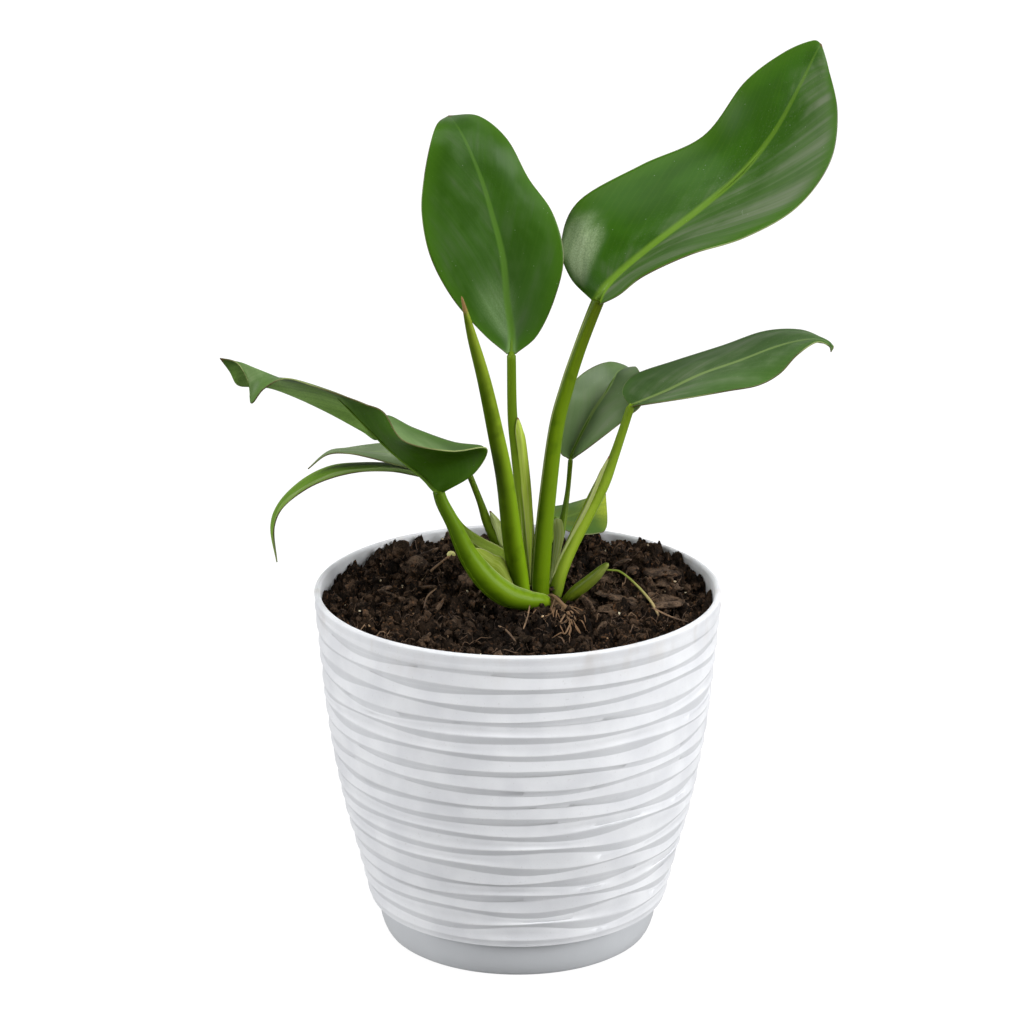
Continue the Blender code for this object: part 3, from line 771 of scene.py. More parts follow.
SIDE_SHOOT = (
    (17.5, -0.5, 156, 2.1),
    (21, -0.5, 161, 2.4),
    (27, -3, 168.5, 3.0),
    (32, -4, 173, 3.0),
    (36.5, -5, 177.5, 2.6),
    (39.5, -5.5, 181, 1.9),
    (42, -6, 183.5, 0.9),
)
LIP_TURN = math.radians(52)
LIP_WIDTH = 0.18
LIP_STAND = 0.22
CHANNEL_FADE = 0.25
BLUNT_END = 0.4


def stalk(points, sides, face, depth=0.0, until=0.0, step=1.2):
    """A stalk through points with radii, with a channel of this depth that fades out at a share.

    The channel looks along face at the foot. The layer "measure" keeps the share round from the
    channel, the length in centimetres and the share along. The layer "place" keeps how open the
    channel is, how near its lips are and whether the point lies in it.
    """
    length = sum((Vector(b[:3]) - Vector(a[:3])).length for a, b in zip(points, points[1:]))
    rows = max(6, round(length / step))
    shape = bmesh.new()
    bmesh.ops.create_grid(shape, x_segments=sides, y_segments=rows, size=1.0)
    measure = shape.verts.layers.float_vector.new("measure")
    place = shape.verts.layers.float_vector.new("place")
    stations = [along(points, row / rows) for row in range(rows + 1)]
    places = [station.xyz for station in stations]
    across = Vector(face)
    frames = []
    for row in range(rows + 1):
        forward = (places[min(row + 1, rows)] - places[max(row - 1, 0)]).normalized()
        across = (across - forward * across.dot(forward)).normalized()
        frames.append((across, forward.cross(across)))
    for vert in shape.verts:
        row = round((vert.co.y + 1) / 2 * rows)
        share, turn = row / rows, vert.co.x * math.pi
        ahead, beside = frames[row]
        opened = max(0, min(1, (until - share) / CHANNEL_FADE)) if until else 0
        lip = abs(turn) / LIP_TURN
        near_lip = math.exp(-(((lip - 1) / LIP_WIDTH) ** 2))
        hollow = depth * opened * max(0, 1 - lip**2.5)
        radius = stations[row].w * (1 - hollow + LIP_STAND * depth * opened * near_lip)
        if row in (0, rows):
            radius *= BLUNT_END
        vert[measure] = (vert.co.x / 2, share * length / 10, share)
        vert[place] = (opened, near_lip, 1 if lip < 1 else 0)
        vert.co = (places[row] + (ahead * math.cos(turn) + beside * math.sin(turn)) * radius) * MM
    return closed(shape, sides, 1e-6)


def stalk_finish(name, foot, body, top, shaded, shaded_from=-0.5, tip=None):
    """A stalk's skin: lengthwise fibres from a pale foot to a duller top, with painted shade round one side.

    The side with painted shade, partly the stalk's own deeper green, faces a share of the way round
    from the channel; tip is the colour of a dry end.
    """
    material, skin = finish(name, body, 0.4, {"Specular IOR Level": 0.07})
    measure, place = skin.attribute("measure"), skin.attribute("place")
    turn, reach, share = measure.part(0), measure.part(1), measure.part(2)
    opened, lip, inside = place.part(0), place.part(1), place.part(2)
    angle = turn * math.tau
    lengthwise = {0: skin.math("SINE", angle), 1: skin.math("COSINE", angle), 2: reach * 0.09}
    fibre = skin.noise(skin.node("CombineXYZ", {}, lengthwise), 5.5, detail=5)
    cloud = skin.noise(skin.here(), 110, detail=3)
    colour = share.step(0.0, 0.2).mix(foot, body)
    colour = share.step(0.4, 1.0).mix(colour, top)
    colour = (fibre.step(0.5, 0.8) * 0.4).mix(colour, foot)
    # Painted shade: the side that faces shaded_from is darkened towards the shaded colour.
    painted_shade_side = skin.math("COSINE", (turn - shaded_from) * math.tau).step(-0.35, 0.9)
    colour = (painted_shade_side * (0.6 + cloud * 0.5)).mix(colour, shaded)
    colour = (cloud.step(0.52, 0.7) * 0.35).mix(colour, shaded)
    colour = (opened * inside * 0.4).mix(colour, (0.24, 0.31, 0.07))
    colour = (opened * lip.step(0.6, 1.0) * 0.8).mix(colour, (0.34, 0.37, 0.14))
    colour = ((share + fibre * 0.04).step(0.08, 0.03) * 0.6).mix(colour, (0.10, 0.08, 0.03))
    if tip:
        colour = (share + fibre * 0.03).step(0.955, 0.985).mix(colour, tip)
    wire(skin, base_color=colour, roughness=0.26 + fibre * 0.12, bump=fibre * 0.08)
    return material


PALE_FOOT = (0.155, 0.235, 0.012)
SHADED_GREEN = (0.035, 0.075, 0.001)
boat_skin = stalk_finish(
    "boat_stalk_skin", PALE_FOOT, (0.125, 0.215, 0.005), (0.085, 0.16, 0.006), SHADED_GREEN, 0.42
)
thin_skin = stalk_finish(
    "thin_stalk_skin", PALE_FOOT, (0.17, 0.26, 0.015), (0.095, 0.165, 0.006), (0.08, 0.13, 0.006), -0.4
)
bright_skin = stalk_finish(
    "bright_stalk_skin", (0.25, 0.31, 0.06), (0.27, 0.38, 0.03), (0.17, 0.27, 0.015), (0.15, 0.24, 0.008),
    -0.3,
)
olive_skin = stalk_finish(
    "olive_stalk_skin", (0.115, 0.205, 0.003), (0.115, 0.20, 0.004), (0.064, 0.092, 0.004), SHADED_GREEN, 0.0
)
spear_skin = stalk_finish(
    "new_leaf_skin", (0.115, 0.20, 0.004), (0.145, 0.25, 0.005), (0.19, 0.25, 0.02), (0.036, 0.068, 0.001),
    0.04, (0.22, 0.13, 0.05),
)
shoot_skin = stalk_finish(
    "side_shoot_skin", (0.035, 0.045, 0.008), (0.13, 0.18, 0.012), (0.22, 0.26, 0.06), (0.05, 0.075, 0.003),
    -0.1,
)
leaf_stalks = (
    ("left_front_stalk", LEFT_FRONT_STALK, (0.25, 1, 0.55), 0.8, 0.8, boat_skin),
    ("tall_right_stalk", TALL_RIGHT_STALK, (-1, 0.2, 0), 0.12, 1.0, olive_skin),
    ("centre_stalk", CENTRE_STALK, (0.3, -1, 0), 0.35, 0.55, thin_skin),
    ("right_middle_stalk", RIGHT_MIDDLE_STALK, (-0.62, 0.78, 0.1), 0.75, 0.86, bright_skin),
    ("back_right_stalk", BACK_RIGHT_STALK, (-1, -0.4, 0), 0.3, 0.5, olive_skin),
    ("left_upper_stalk", LEFT_UPPER_STALK, (1, -0.3, 0.2), 0.5, 0.55, thin_skin),
    ("left_drooping_stalk", LEFT_DROOPING_STALK, (0.3, -0.5, 0.8), 0.6, 0.7, thin_skin),
    ("back_low_stalk", BACK_LOW_STALK, (0, 0, 1), 0.3, 0.6, thin_skin),
    ("new_leaf", NEW_LEAF, (-1, -0.25, 0), 0.0, 0.0, spear_skin),
    ("side_shoot", SIDE_SHOOT, (0, -0.3, 1), 0.0, 0.0, shoot_skin),
)
for name, points, face, depth, until, skin in leaf_stalks:
    shape = stalk(points, 72, face, depth, until)
    piece("fleshy_" + name, shape, [skin], "stalk", name, sharp=75)

# ---- Sheaths ----
# Papery pale leaf bases that clasp the foot of some stalks, 0.6 mm thick. They are dry and brown at
# their free tip and grow from the stem at their foot. A pale lip of the same kind runs up the stalk
# of the right leaf.
SHEATH_THICK = 0.6
PALE_MARGIN = (0.34, 0.37, 0.15)
DRY_BROWN = (0.16, 0.07, 0.03)
CENTRE_SHEATH = (
    ((0, 11, 249),),
    ((-1, 10, 243), (1, 9, 244), (2, 10, 244)),
    ((0, 10, 234), (2, 8, 235), (4, 10, 235)),
    ((3, 8, 202), (5, 8, 203), (7, 8, 203)),
    ((6, 7.5, 168),),
)
FRONT_SHEATH = (
    ((-23, -7, 192),),
    ((-16, -5, 190), (-17, -8, 188), (-18, -7, 185)),
    ((-11, -4, 187), (-12, -7, 184), (-14, -8, 180)),
    ((-6, -4, 184), (-8, -7, 181), (-10, -8, 177)),
    ((-0.5, -5, 167),),
)
LEFT_SHEATH = (
    ((-13, 16, 202),),
    ((-12, 16, 196), (-10, 13, 197), (-8, 14, 197)),
    ((-9, 13, 189), (-8, 11, 190), (-5, 12, 190)),
    ((-3, 12.5, 167.5),),
)
BACK_RIGHT_SHEATH = (
    ((19, 19, 197),),
    ((17, 19, 195), (19, 18, 196), (21, 19, 195)),
    ((17, 17, 186), (19, 15, 187), (21, 16, 186)),
    ((15, 10, 167),),
)
MARGIN_LINE = (
    (42.7, 15, 229.4),
    (38.8, 13, 221.6),
    (33.7, 11, 209),
    (26.7, 9, 194.9),
    (19.8, 7, 180.8),
    (15.5, 5, 171.6),
)
MARGIN_REACH = Vector((-0.75, -0.35, 0.5))


def rails_of(ribs):
    """The left edge, the middle and the right edge of a sheet, each as a line of points across its ribs."""
    return [[rib[min(side, len(rib) - 1)] for rib in ribs] for side in range(3)]


def sheet(ribs, rows, columns, arch=0.0, ripple=0.0, seed=0.0):
    """A sheet laid over its ribs: arch swells each half and ripple runs waves out along the side veins.

    The layer "measure" keeps each point's distance across, along and in from the edge in centimetres,
    and "place" its share across, -1 to 1, and along, 0 to 1.
    """
    rails = rails_of(ribs)
    shape = bmesh.new()
    bmesh.ops.create_grid(shape, x_segments=columns, y_segments=rows, size=1.0)
    measure = shape.verts.layers.float_vector.new("measure")
    place = shape.verts.layers.float_vector.new("place")
    spine = [along(rails[1], row / rows) for row in range(rows + 1)]
    length = sum((b - a).length for a, b in zip(spine, spine[1:]))
    for vert in shape.verts:
        share, side = (vert.co.y + 1) / 2, vert.co.x
        middle = along(rails[1], share)
        edge = along(rails[0 if side < 0 else 2], share)
        half = (edge - middle).length / 10
        vert[measure] = (side * half, share * length / 10, (1 - abs(side)) * half)
        vert[place] = (side, share, 0)
        vert.co = middle.lerp(edge, abs(side)) * MM
    bmesh.ops.remove_doubles(shape, verts=shape.verts, dist=2e-5)
    inner = [vert for vert in shape.verts if not vert.is_boundary]
    for _ in range(3):
        bmesh.ops.smooth_vert(
            shape, verts=inner, factor=0.5, use_axis_x=True, use_axis_y=True, use_axis_z=True
        )
    shape.normal_update()
    for vert in inner:
        across, reach, _ = vert[measure]
        side, share, _ = vert[place]
        full = math.sin(math.pi * abs(side)) ** 2 * math.sin(math.pi * share)
        wave = math.sin((reach - 1.2 * abs(across)) * 5 + seed + math.sin(across * 2 + seed))
        crease = 0.15 * math.exp(-((across / 0.2) ** 2)) * (1 - share)
        vert.co += vert.normal * (arch * full + ripple * wave * full - crease) * MM
    return shape


def blade_piece(name, shape, finishes, slot, thick, *nodes):
    """The sheet thickened, with one finish above, one below and one on its rim."""
    made = piece(name, shape, finishes, slot, *nodes, sharp=80)
    wall = made.modifiers.new("thickness", "SOLIDIFY")
    wall.thickness = thick * MM
    wall.offset = 0.0
    wall.material_offset = 1
    wall.material_offset_rim = 2
    return made


def sheath_finish(name, pale, green):
    """A thin sheath: fine lengthwise veins, a pale margin and a brown tip."""
    material, sheath = finish(name, pale, 0.5, {"Specular IOR Level": 0.08})
    measure, place = sheath.attribute("measure"), sheath.attribute("place")
    side, reach, inset = measure.part(0), measure.part(1), measure.part(2)
    lines = sheath.node("CombineXYZ", {}, {0: side * 9, 1: reach * 0.35})
    grain = sheath.noise(lines, 2.0, detail=4)
    skin = grain.step(0.35, 0.65).mix(pale, green)
    skin = (place.part(0) + grain * 0.4).step(0.75, 0.3).mix(green, skin)
    skin = (inset.step(0.05, 0.01) * 0.8).mix(skin, PALE_MARGIN)
    skin = (place.part(1) + grain * 0.05).step(0.085, 0.04).mix(skin, DRY_BROWN)
    wire(sheath, base_color=skin, roughness=0.4 + grain * 0.2, bump=grain * 0.05)
    return material


sheath_skin = sheath_finish("sheath_skin", (0.47, 0.56, 0.12), (0.36, 0.48, 0.045))
front_skin = sheath_finish("front_sheath_skin", (0.21, 0.26, 0.04), (0.155, 0.215, 0.016))
faded_skin = sheath_finish("faded_sheath_skin", (0.46, 0.52, 0.24), (0.36, 0.43, 0.12))
for name, ribs, skin in (
    ("centre", CENTRE_SHEATH, sheath_skin),
    ("front", FRONT_SHEATH, front_skin),
    ("left", LEFT_SHEATH, faded_skin),
    ("back_right", BACK_RIGHT_SHEATH, faded_skin),
):
    shape = sheet(ribs, 60, 20)
    blade_piece(name + "_leaf_sheath", shape, [skin] * 3, "sheath", SHEATH_THICK, name + "_sheath")
margin_skin = sheath_finish("margin_skin", (0.34, 0.40, 0.14), (0.27, 0.32, 0.09))
margin_ribs = [(MARGIN_LINE[0],)]
for spot in MARGIN_LINE[1:-1]:
    margin_ribs.append([tuple(Vector(spot) + MARGIN_REACH * side) for side in (1, 0, -1)])
margin_ribs.append((MARGIN_LINE[-1],))
blade_piece("right_leaf_margin", sheet(margin_ribs, 60, 8), [margin_skin] * 3, "sheath", SHEATH_THICK)

# ---- Leaf blades ----
# Waxy leathery blades 0.6 mm thick, each grown from the end of its stalk, which runs on under the
# blade as its midrib. Each is laid over ribs of left edge, midrib and right edge, from the stalk to
# the tip, where the ribs meet in one point.
BLADE_THICK = 0.6
BLADE_ROWS = 110
BLADE_COLUMNS = 44
CENTRE_BLADE = (
    ((-3, 14, 280),),
    ((-16, 12, 289), (-3, 17, 289), (9, 13, 288)),
    ((-30, 11, 306), (-5, 19, 304), (17, 12, 306)),
    ((-40, 13, 325), (-7, 21, 324), (21, 16, 325)),
    ((-44, 18, 344), (-12, 24, 343), (16, 24, 343)),
    ((-43, 22, 360), (-17, 27, 359), (5, 33, 357)),
    ((-40, 27, 375), (-24, 31, 375), (-5, 40, 374)),
    ((-37, 36, 382), (-29, 38, 382), (-18, 48, 383)),
    ((-32, 54, 382),),
)
TALL_RIGHT_BLADE = (
    ((36, 16, 305),),
    ((24, 24, 313), (40, 15, 309), (46, 2, 310)),
    ((20, 30, 327), (48, 17, 317), (57, -6, 321)),
    ((28, 35, 346), (63, 21, 329), (78, -6, 331)),
    ((57, 44, 361), (84, 28, 344), (103, 2, 337)),
    ((86, 52, 373), (103, 36, 359), (127, 14, 348)),
    ((105, 58, 397), (118, 42, 377), (143, 28, 366)),
    ((123, 62, 410), (130, 48, 398), (147, 42, 386)),
    ((136, 60, 416), (137, 54, 411), (143, 52, 405)),
    ((140, 57, 415),),
)
LEFT_FRONT_BLADE = (
    ((-37, -22, 225),),
    ((-20, -38, 237), (-40, -22, 227), (-22, -5, 234)),
    ((-14, -44, 251), (-44, -22, 231), (-16, 1, 238)),
    ((-30, -45, 250), (-53, -22, 238), (-30, 2, 240)),
    ((-51, -43, 254), (-62, -23, 248), (-48, 1, 247)),
    ((-60, -42, 267), (-72, -25, 259), (-61, -1, 253.5)),
    ((-68, -42.5, 271), (-77, -25.5, 265), (-64.5, -2, 242.5)),
    ((-75, -43, 274), (-82, -26, 270), (-72, -3, 247)),
    ((-91, -44, 280), (-93, -27, 275), (-86, -6, 256)),
    ((-104, -42, 283), (-104, -28, 278), (-100, -9, 264)),
    ((-114, -38, 277), (-113, -29, 282), (-112, -13, 270)),
    ((-120, -34, 269), (-119, -30, 285), (-120, -17, 272)),
    ((-121, -32, 278), (-124, -30, 287), (-127, -21, 274)),
    ((-126, -31, 287), (-129, -30, 288), (-130, -24, 281)),
    ((-134, -30, 289),),
)
RIGHT_MIDDLE_BLADE = (
    ((53, 22, 252),),
    ((49, 32, 256), (59, 22, 254), (61, 10, 256)),
    ((55, 38, 262), (70, 22, 259), (79, 3, 261)),
    ((74, 41, 268), (85, 21, 267), (96, 0, 265)),
    ((96, 42, 275), (103, 20, 274), (110, -1, 268)),
    ((115, 38, 283), (119, 18, 281), (120, 1, 273)),
    ((131, 30, 286), (131, 15, 285), (128, 4, 281)),
    ((141, 18, 285), (140, 12, 286), (137, 8, 286)),
    ((145, 10, 284), (144, 10, 283), (143, 9, 284)),
    ((144, 9, 281),),
)
BACK_RIGHT_BLADE = (
    ((25, 36, 223),),
    ((20, 32, 227), (27, 38, 227), (34, 31, 229)),
    ((20, 32, 248), (35, 42, 242), (52, 30, 244)),
    ((24, 37, 256), (40, 45, 249), (58, 33, 249)),
    ((32, 44, 262), (44, 49, 254), (60, 40, 255)),
    ((42, 53, 264), (47, 55, 258), (58, 50, 259)),
    ((50, 66, 259), (52, 64, 258), (56, 62, 259)),
    ((54, 74, 254),),
)
LEFT_UPPER_BLADE = (
    ((-25, 22, 225),),
    ((-33, 12, 225), (-31, 22, 227), (-31, 34, 228)),
    ((-44, 6, 225), (-41, 22, 227), (-41, 40, 228)),
    ((-55, 4, 228), (-53, 22, 228), (-54, 42, 228)),
    ((-68, 6, 231), (-66, 22, 229), (-68, 38, 228)),
    ((-79, 10, 232), (-79, 21, 230), (-80, 32, 228)),
    ((-89, 14, 230), (-89, 20, 229), (-89, 26, 228)),
    ((-98, 18, 222),),
)
LEFT_DROOPING_BLADE = (
    ((-42, 7, 222),),
    ((-49, -4, 226), (-48, 9, 224), (-50, 24, 221)),
    ((-59, -8, 229), (-58, 10, 225), (-60, 30, 221)),
    ((-73, -9, 229), (-72, 11, 224), (-74, 31, 221)),
    ((-87, -7, 225), (-86, 11, 222), (-88, 29, 220)),
    ((-99, -3, 218), (-100, 11, 215), (-101, 27, 214)),
    ((-110, 2, 207), (-110, 11, 207), (-112, 23, 204)),
    ((-114, 6, 194), (-114, 11, 195), (-116, 19, 193)),
    ((-113, 12, 178),),
)
BACK_LOW_BLADE = (
    ((19, 51, 186),),
    ((11, 66, 187), (14, 58, 186), (18, 50, 184)),
    ((15, 74, 185), (22, 64, 183), (28, 52, 179)),
    ((24, 82, 184), (32, 72, 184), (38, 58, 177)),
    ((34, 88, 185), (40, 80, 185), (43, 66, 178)),
    ((43, 90, 187),),
)
KEEL_TAPER = ((0, 0.62), (0.06, 0.52), (0.14, 0.42), (0.3, 0.33), (0.53, 0.25), (0.76, 0.17), (1.0, 0.08))
KEEL_ROOT = 3.6
KEEL_INWARD = 0.7
KEEL_BELOW = 0.2


def leaf_finish(name, deep, fresh, sheen_colour, sheen_side, vein, vein_width, roughness, highlight_and_wax=None, gloss=0.2):
    """A waxy leaf's skin: deep green, fresher at the margin, with painted grey sheen along the side veins.

    The painted sheen lies on one half, -1 or 1, or thinly on both for 0. It is paler round one place,
    a painted highlight over waxy residue, given as its side, its share along, the reach of both and
    how much paler. The pale midrib tapers to the tip.
    """
    material, leaf = finish(name, deep, roughness, {"Specular IOR Level": gloss})
    measure, place = leaf.attribute("measure"), leaf.attribute("place")
    side, reach, inset = measure.part(0), measure.part(1), measure.part(2)
    share, across = place.part(1), abs(side)
    lean = reach - across * 1.9
    fibres = leaf.node("CombineXYZ", {}, {0: lean, 1: across * 0.14, 2: side.step(-0.01, 0.01) * 9})
    streak = leaf.noise(fibres, 1.6, detail=5)
    fine = leaf.noise(fibres, 9, detail=3)
    cloud = leaf.noise(measure, 0.5, detail=3)
    scratch = leaf.noise(measure, 13, detail=4)
    midrib = (across / ((1 - share) * vein_width + 0.015)).step(1.3, 0.45)
    # Painted sheen: grey reflection painted as colour on one half, streaked along the side veins and rougher
    # there.
    where = (place.part(0) * sheen_side + cloud * 1.6 - 0.62).step(0.0, 0.7)
    sheen_and_dull = where * inset.step(0.02, 0.7) * (0.25 + streak.step(0.36, 0.7) * 0.75)
    skin = cloud.step(0.38, 0.64).mix(deep, [channel * 1.25 for channel in deep])
    skin = (inset.step(1.0, 0.0) * 0.5).mix(skin, fresh)
    skin = sheen_and_dull.mix(skin, sheen_colour)
    skin = (scratch.step(0.57, 0.72) * across.step(2.2, 0.2) * 0.3).mix(skin, sheen_colour)
    # Painted highlight over waxy residue: one place on the leaf is painted paler.
    if highlight_and_wax:
        off = []
        for axis in (0, 1):
            off.append((place.part(axis) + cloud * 0.1 - 0.05 - highlight_and_wax[axis]) * (1 / highlight_and_wax[axis + 2]))
        highlight_and_residue = (off[0] * off[0] + off[1] * off[1]).step(1.0, 0.0)
        highlight_and_residue = highlight_and_residue * (0.6 + streak.step(0.3, 0.7) * 0.2 + scratch.step(0.3, 0.7) * 0.2)
        skin = (highlight_and_residue * highlight_and_residue).mix(skin, [channel * highlight_and_wax[4] for channel in sheen_colour])
    skin = (leaf.math("SINE", lean * 11 + streak * 9).step(0.6, 1.0) * 0.035).mix(skin, vein)
    skin = (midrib * (1.1 - share)).mix(skin, vein)
    margin = cloud.step(0.42, 0.6).mix((0.09, 0.08, 0.03), (0.2, 0.25, 0.09))
    skin = inset.step(0.03, 0.01).mix(skin, margin)
    skin = (share + cloud * 0.02).step(0.975, 1.0).mix(skin, (0.11, 0.07, 0.025))
    fleck = leaf.node("TexVoronoi", {}, {"Vector": measure, "Scale": 4.2}).step(0.085, 0.05)
    lone = leaf.noise(measure, 2.1, detail=0).step(0.6, 0.62)
    wire(
        leaf,
        base_color=(fleck * lone * 0.5).mix(skin, (0.40, 0.45, 0.35)),
        roughness=roughness - 0.05 + fine * 0.08 + scratch * 0.08 + sheen_and_dull * 0.12,
        bump=streak * 0.06 + fine * 0.03 + scratch * 0.012,
    )
    return material


UNDER_DEEP = (0.028, 0.080, 0.0015)
UNDER_FRESH = (0.05, 0.13, 0.004)
UNDER_VEIN = (0.12, 0.24, 0.02)
centre_skin = leaf_finish(
    "centre_leaf_skin", (0.023, 0.070, 0.004), (0.050, 0.135, 0.006), (0.056, 0.096, 0.034), 0,
    (0.085, 0.19, 0.022), 0.24, 0.30, (-0.2, 0.2, 0.62, 0.17, 2.2), 0.13,
)
lined_skin = leaf_finish(
    "lined_leaf_skin", (0.022, 0.072, 0.003), (0.045, 0.12, 0.005), (0.11, 0.14, 0.08), 0.75,
    (0.13, 0.245, 0.018), 0.34, 0.28, (-0.72, 0.21, 0.4, 0.16, 4.2), 0.13,
)
grey_skin = leaf_finish(
    "grey_leaf_skin", (0.075, 0.135, 0.04), (0.08, 0.17, 0.025), (0.19, 0.25, 0.12), 0, (0.15, 0.26, 0.05),
    0.12, 0.34, None, 0.1,
)
ashen_skin = leaf_finish(
    "ashen_leaf_skin", (0.12, 0.17, 0.08), (0.10, 0.18, 0.04), (0.27, 0.31, 0.20), 0, (0.20, 0.30, 0.09),
    0.12, 0.4, None, 0.08,
)
grass_skin = leaf_finish(
    "grass_leaf_skin", (0.09, 0.18, 0.014), (0.16, 0.27, 0.03), (0.25, 0.33, 0.13), -1, (0.20, 0.32, 0.05),
    0.12, 0.5, None, 0.03,
)
faint_skin = leaf_finish(
    "faint_leaf_skin", (0.046, 0.102, 0.021), (0.050, 0.125, 0.014), (0.175, 0.21, 0.13), 0,
    (0.22, 0.32, 0.09), 0.16, 0.36,
)
folded_skin = leaf_finish(
    "folded_leaf_skin", (0.095, 0.155, 0.060), (0.09, 0.16, 0.04), (0.16, 0.20, 0.11), 0,
    (0.25, 0.36, 0.10), 0.16, 0.36,
)
low_skin = leaf_finish(
    "low_leaf_skin", (0.050, 0.105, 0.018), (0.07, 0.14, 0.02), (0.10, 0.125, 0.008), 0, (0.12, 0.20, 0.03),
    0.12, 0.36, (0.0, 0.95, 1.7, 0.45, 3.4), 0.1,
)
far_under_skin = leaf_finish(
    "far_under_leaf_skin", UNDER_DEEP, UNDER_FRESH, (0.05, 0.085, 0.02), 0, UNDER_VEIN,
    0.1, 0.40, (0.7, 0.62, 1.35, 0.46, 6.0), 0.07,
)
under_skin = leaf_finish(
    "under_leaf_skin", UNDER_DEEP, UNDER_FRESH, (0.05, 0.11, 0.01), 0, UNDER_VEIN,
    0.1, 0.40, None, 0.07,
)
pale_under_skin = leaf_finish(
    "pale_under_leaf_skin", (0.070, 0.130, 0.028), (0.08, 0.16, 0.03), (0.12, 0.17, 0.07), 0,
    (0.19, 0.30, 0.06), 0.2, 0.44, None, 0.1,
)
rim_skin, rim = finish("leaf_rim_skin", (0.10, 0.11, 0.03), 0.6, {"Specular IOR Level": 0.1})
tint = rim.noise(rim.attribute("measure"), 0.35, detail=1).step(0.4, 0.58)
wire(rim, base_color=tint.mix((0.09, 0.08, 0.03), (0.24, 0.29, 0.11)))
midrib_skin, rib = finish("midrib_skin", (0.12, 0.22, 0.02), 0.45, {"Specular IOR Level": 0.07})
measure = rib.attribute("measure")
fresher = (measure.part(2) + rib.noise(measure, 3) * 0.2).step(0.0, 0.5)
wire(rib, base_color=fresher.mix((0.09, 0.16, 0.008), (0.10, 0.19, 0.02)))


def footed(ribs, stem):
    """The ribs with the first one opened round the stalk's end, so that the blade grows out of it."""
    end, before = Vector(stem[-1]), Vector(stem[-2])
    forward = (end - before).xyz.normalized()
    spot = end.xyz - forward * end.w * 0.5
    sides = [Vector(ribs[1][side]) - Vector(ribs[1][1]) for side in (0, 2)]
    left, right = ((side - forward * side.dot(forward)).normalized() * end.w * 0.98 for side in sides)
    return ((spot + left, spot - (left + right) * 0.4, spot + right), *ribs[1:])


def midrib_path(ribs, stem, reach):
    """The stalk's end and then the underside of the blade's midrib up to a share, with radii."""
    rails = rails_of(ribs)
    end, before = Vector(stem[-1]), Vector(stem[-2])
    path = [(*(end.xyz + (before - end).xyz.normalized() * KEEL_ROOT), end.w * 0.7)]
    for part, size in KEEL_TAPER:
        share = part * reach
        spot, ahead = along(rails[1], share), along(rails[1], share + 0.02)
        left, right = (along(rails[side], share + 0.02) - ahead for side in (0, 2))
        fold = left.normalized() + right.normalized()
        down = (ahead - spot).cross(right - left).normalized()
        under = spot + fold * KEEL_INWARD + down * (end.w * size + KEEL_BELOW)
        path.append((*under, end.w * size))
    return path


leaves = (
    ("centre", CENTRE_BLADE, CENTRE_STALK, centre_skin, pale_under_skin, 1.0, 0.04, 0.85),
    ("tall_right", TALL_RIGHT_BLADE, TALL_RIGHT_STALK, lined_skin, pale_under_skin, 1.0, 0.035, 0.85),
    ("left_front", LEFT_FRONT_BLADE, LEFT_FRONT_STALK, grey_skin, far_under_skin, 0.6, 0.03, 0.5),
    ("right_middle", RIGHT_MIDDLE_BLADE, RIGHT_MIDDLE_STALK, faint_skin, pale_under_skin, 0.8, 0.05, 0.85),
    ("back_right", BACK_RIGHT_BLADE, BACK_RIGHT_STALK, folded_skin, pale_under_skin, 0.3, 0.03, 0.85),
    ("left_upper", LEFT_UPPER_BLADE, LEFT_UPPER_STALK, ashen_skin, under_skin, 0.5, 0.06, 0.6),
    ("left_drooping", LEFT_DROOPING_BLADE, LEFT_DROOPING_STALK, grass_skin, under_skin, 0.5, 0.06, 0.5),
    ("back_low", BACK_LOW_BLADE, BACK_LOW_STALK, low_skin, under_skin, 0.5, 0.06, 0.85),
)
for number, (name, ribs, stem, skin, below, arch, ripple, ribbed) in enumerate(leaves):
    shape = sheet(footed(ribs, stem), BLADE_ROWS, BLADE_COLUMNS, arch, ripple, number)
    blade_piece(name + "_leaf_blade", shape, [skin, below, rim_skin], "leaf", BLADE_THICK, name + "_blade")
    keel = stalk(midrib_path(ribs, stem, ribbed), 16, (0, 0, 1))
    piece(name + "_leaf_midrib", keel, [midrib_skin], "leaf", sharp=75)

# ---- Roots ----
# A thin green-to-tan root arches from the shoot's tip down into the soil, and a tan root leaves the
# stem at the front among many fine ones. A pale root bud shows at the left, behind the stalks, and
# four long dry twigs lie on the soil.
AERIAL_ROOT = (
    (39.5, -5.5, 180, 0.6),
    (44, -7, 180.5, 0.6),
    (48, -8.5, 180, 0.6),
    (55, -12, 175, 0.7),
    (62, -17, 168, 0.8),
    (66, -21, 161, 0.7),
)
SURFACE_ROOT = (
    (13.5, -1.5, 165, 1.1),
    (15.5, -5, 167.5, 1.2),
    (18, -8, 167, 1.3),
    (22, -16, 165.5, 1.2),
    (24.5, -28, 164, 1.0),
    (28.5, -42, 162, 0.8),
)
ROOTLETS = 32
ROOTLET_LIFT = 0.9
root_skin = stalk_finish(
    "root_skin", (0.17, 0.11, 0.06), (0.21, 0.13, 0.075), (0.19, 0.11, 0.06), (0.08, 0.045, 0.025)
)
green_root_skin = stalk_finish(
    "green_root_skin", (0.13, 0.22, 0.015), (0.16, 0.21, 0.03), (0.40, 0.29, 0.16), (0.10, 0.10, 0.02)
)
LONG_TWIGS = (
    ((-9, -42, 165.8, 0.4), (-5, -51, 166.4, 0.45), (-1, -61, 165.0, 0.3)),
    ((5.5, -21, 168.2, 0.3), (4.5, -33, 167.2, 0.4), (2.5, -47, 166.0, 0.35)),
    ((-38, 2, 168.5, 0.3), (-42, -8, 168.0, 0.4), (-43.5, -20, 166.5, 0.25)),
    ((62, -24, 168.0, 0.4), (70, -33, 167.0, 0.4), (78, -38, 166.0, 0.25)),
)
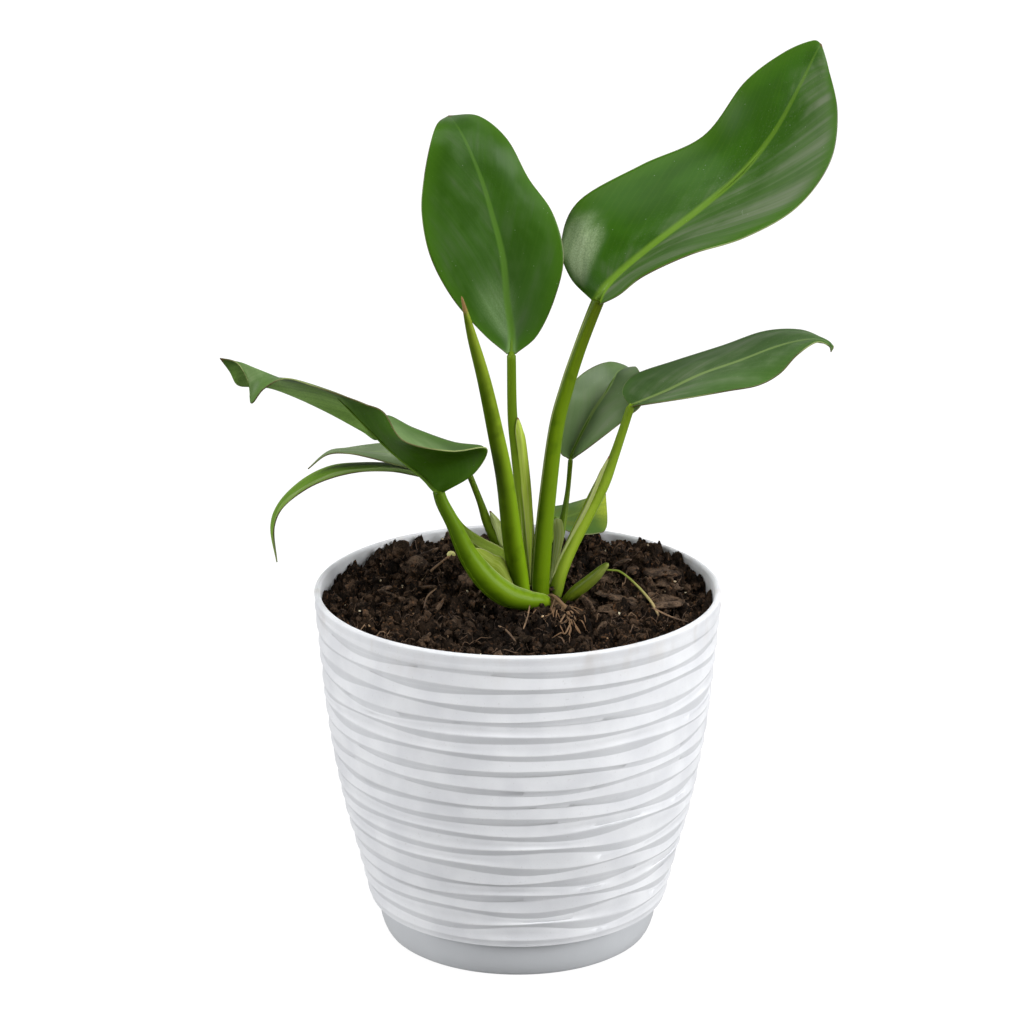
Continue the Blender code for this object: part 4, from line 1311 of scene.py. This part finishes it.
ROOT_BUD_STALK = ((-44, 26, 165.5, 0.5), (-40, 32, 168, 0.6), (-36, 39, 169, 0.6), (-32.5, 44.5, 170, 0.8))
ROOT_BUD = (-31.8, 45, 170.7)
UP = (0, 0, 1)


def rootlet():
    """A fine crooked root that leaves the surface root and runs forward over the soil."""
    spot = along(SURFACE_ROOT, scatter.uniform(0.05, 0.85)).xyz
    heading, points = scatter.uniform(-0.7, 0.9), [(*spot, 0.5)]
    for radius in (0.42, 0.36, 0.3, 0.2):
        heading += scatter.uniform(-0.6, 0.6)
        spot = spot + Vector((heading, -1, 0)).normalized() * scatter.uniform(2.0, 5.5)
        points.append((spot.x, spot.y, resting_height(spot.x, spot.y) + ROOTLET_LIFT, radius))
    return stalk(points, 6, UP, step=0.8)


def thinned(points, share):
    """The points with their radii cut to a share."""
    return [(x, y, z, radius * share) for x, y, z, radius in points]


surface_root = stalk(thinned(SURFACE_ROOT, 0.65), 12, UP)
piece("thin_surface_root", surface_root, [root_skin], "root", "surface_root", sharp=60)
aerial_root = stalk(thinned(AERIAL_ROOT, 0.8), 12, UP)
piece("thin_aerial_root", aerial_root, [green_root_skin], "root", "aerial_root", sharp=60)
piece("surface_rootlets", heap((ROOTLETS, rootlet)), [root_skin], "root", sharp=60)
twigs = heap(*((1, stalk, line, 8, UP) for line in LONG_TWIGS))
piece("long_twigs", twigs, [dry_twig], "soil", sharp=60)
piece("root_bud_stalk", stalk(ROOT_BUD_STALK, 8, UP), [root_skin], "root", sharp=60)
bud_shape = bmesh.new()
bud_place = Matrix.Translation(Vector(ROOT_BUD) * MM) @ Matrix.Diagonal((1.3, 1, 1.1, 1))
bmesh.ops.create_uvsphere(bud_shape, u_segments=20, v_segments=12, radius=1.6 * MM, matrix=bud_place)
bud_yellow, bud = finish("root_bud", (0.55, 0.52, 0.16), 0.5)
place = bud.here()
wire(bud, base_color=bud.noise(place, 500).step(0.35, 0.65).mix((0.62, 0.58, 0.22), (0.42, 0.42, 0.12)))
piece("root_bud", bud_shape, [bud_yellow], "root", sharp=60)
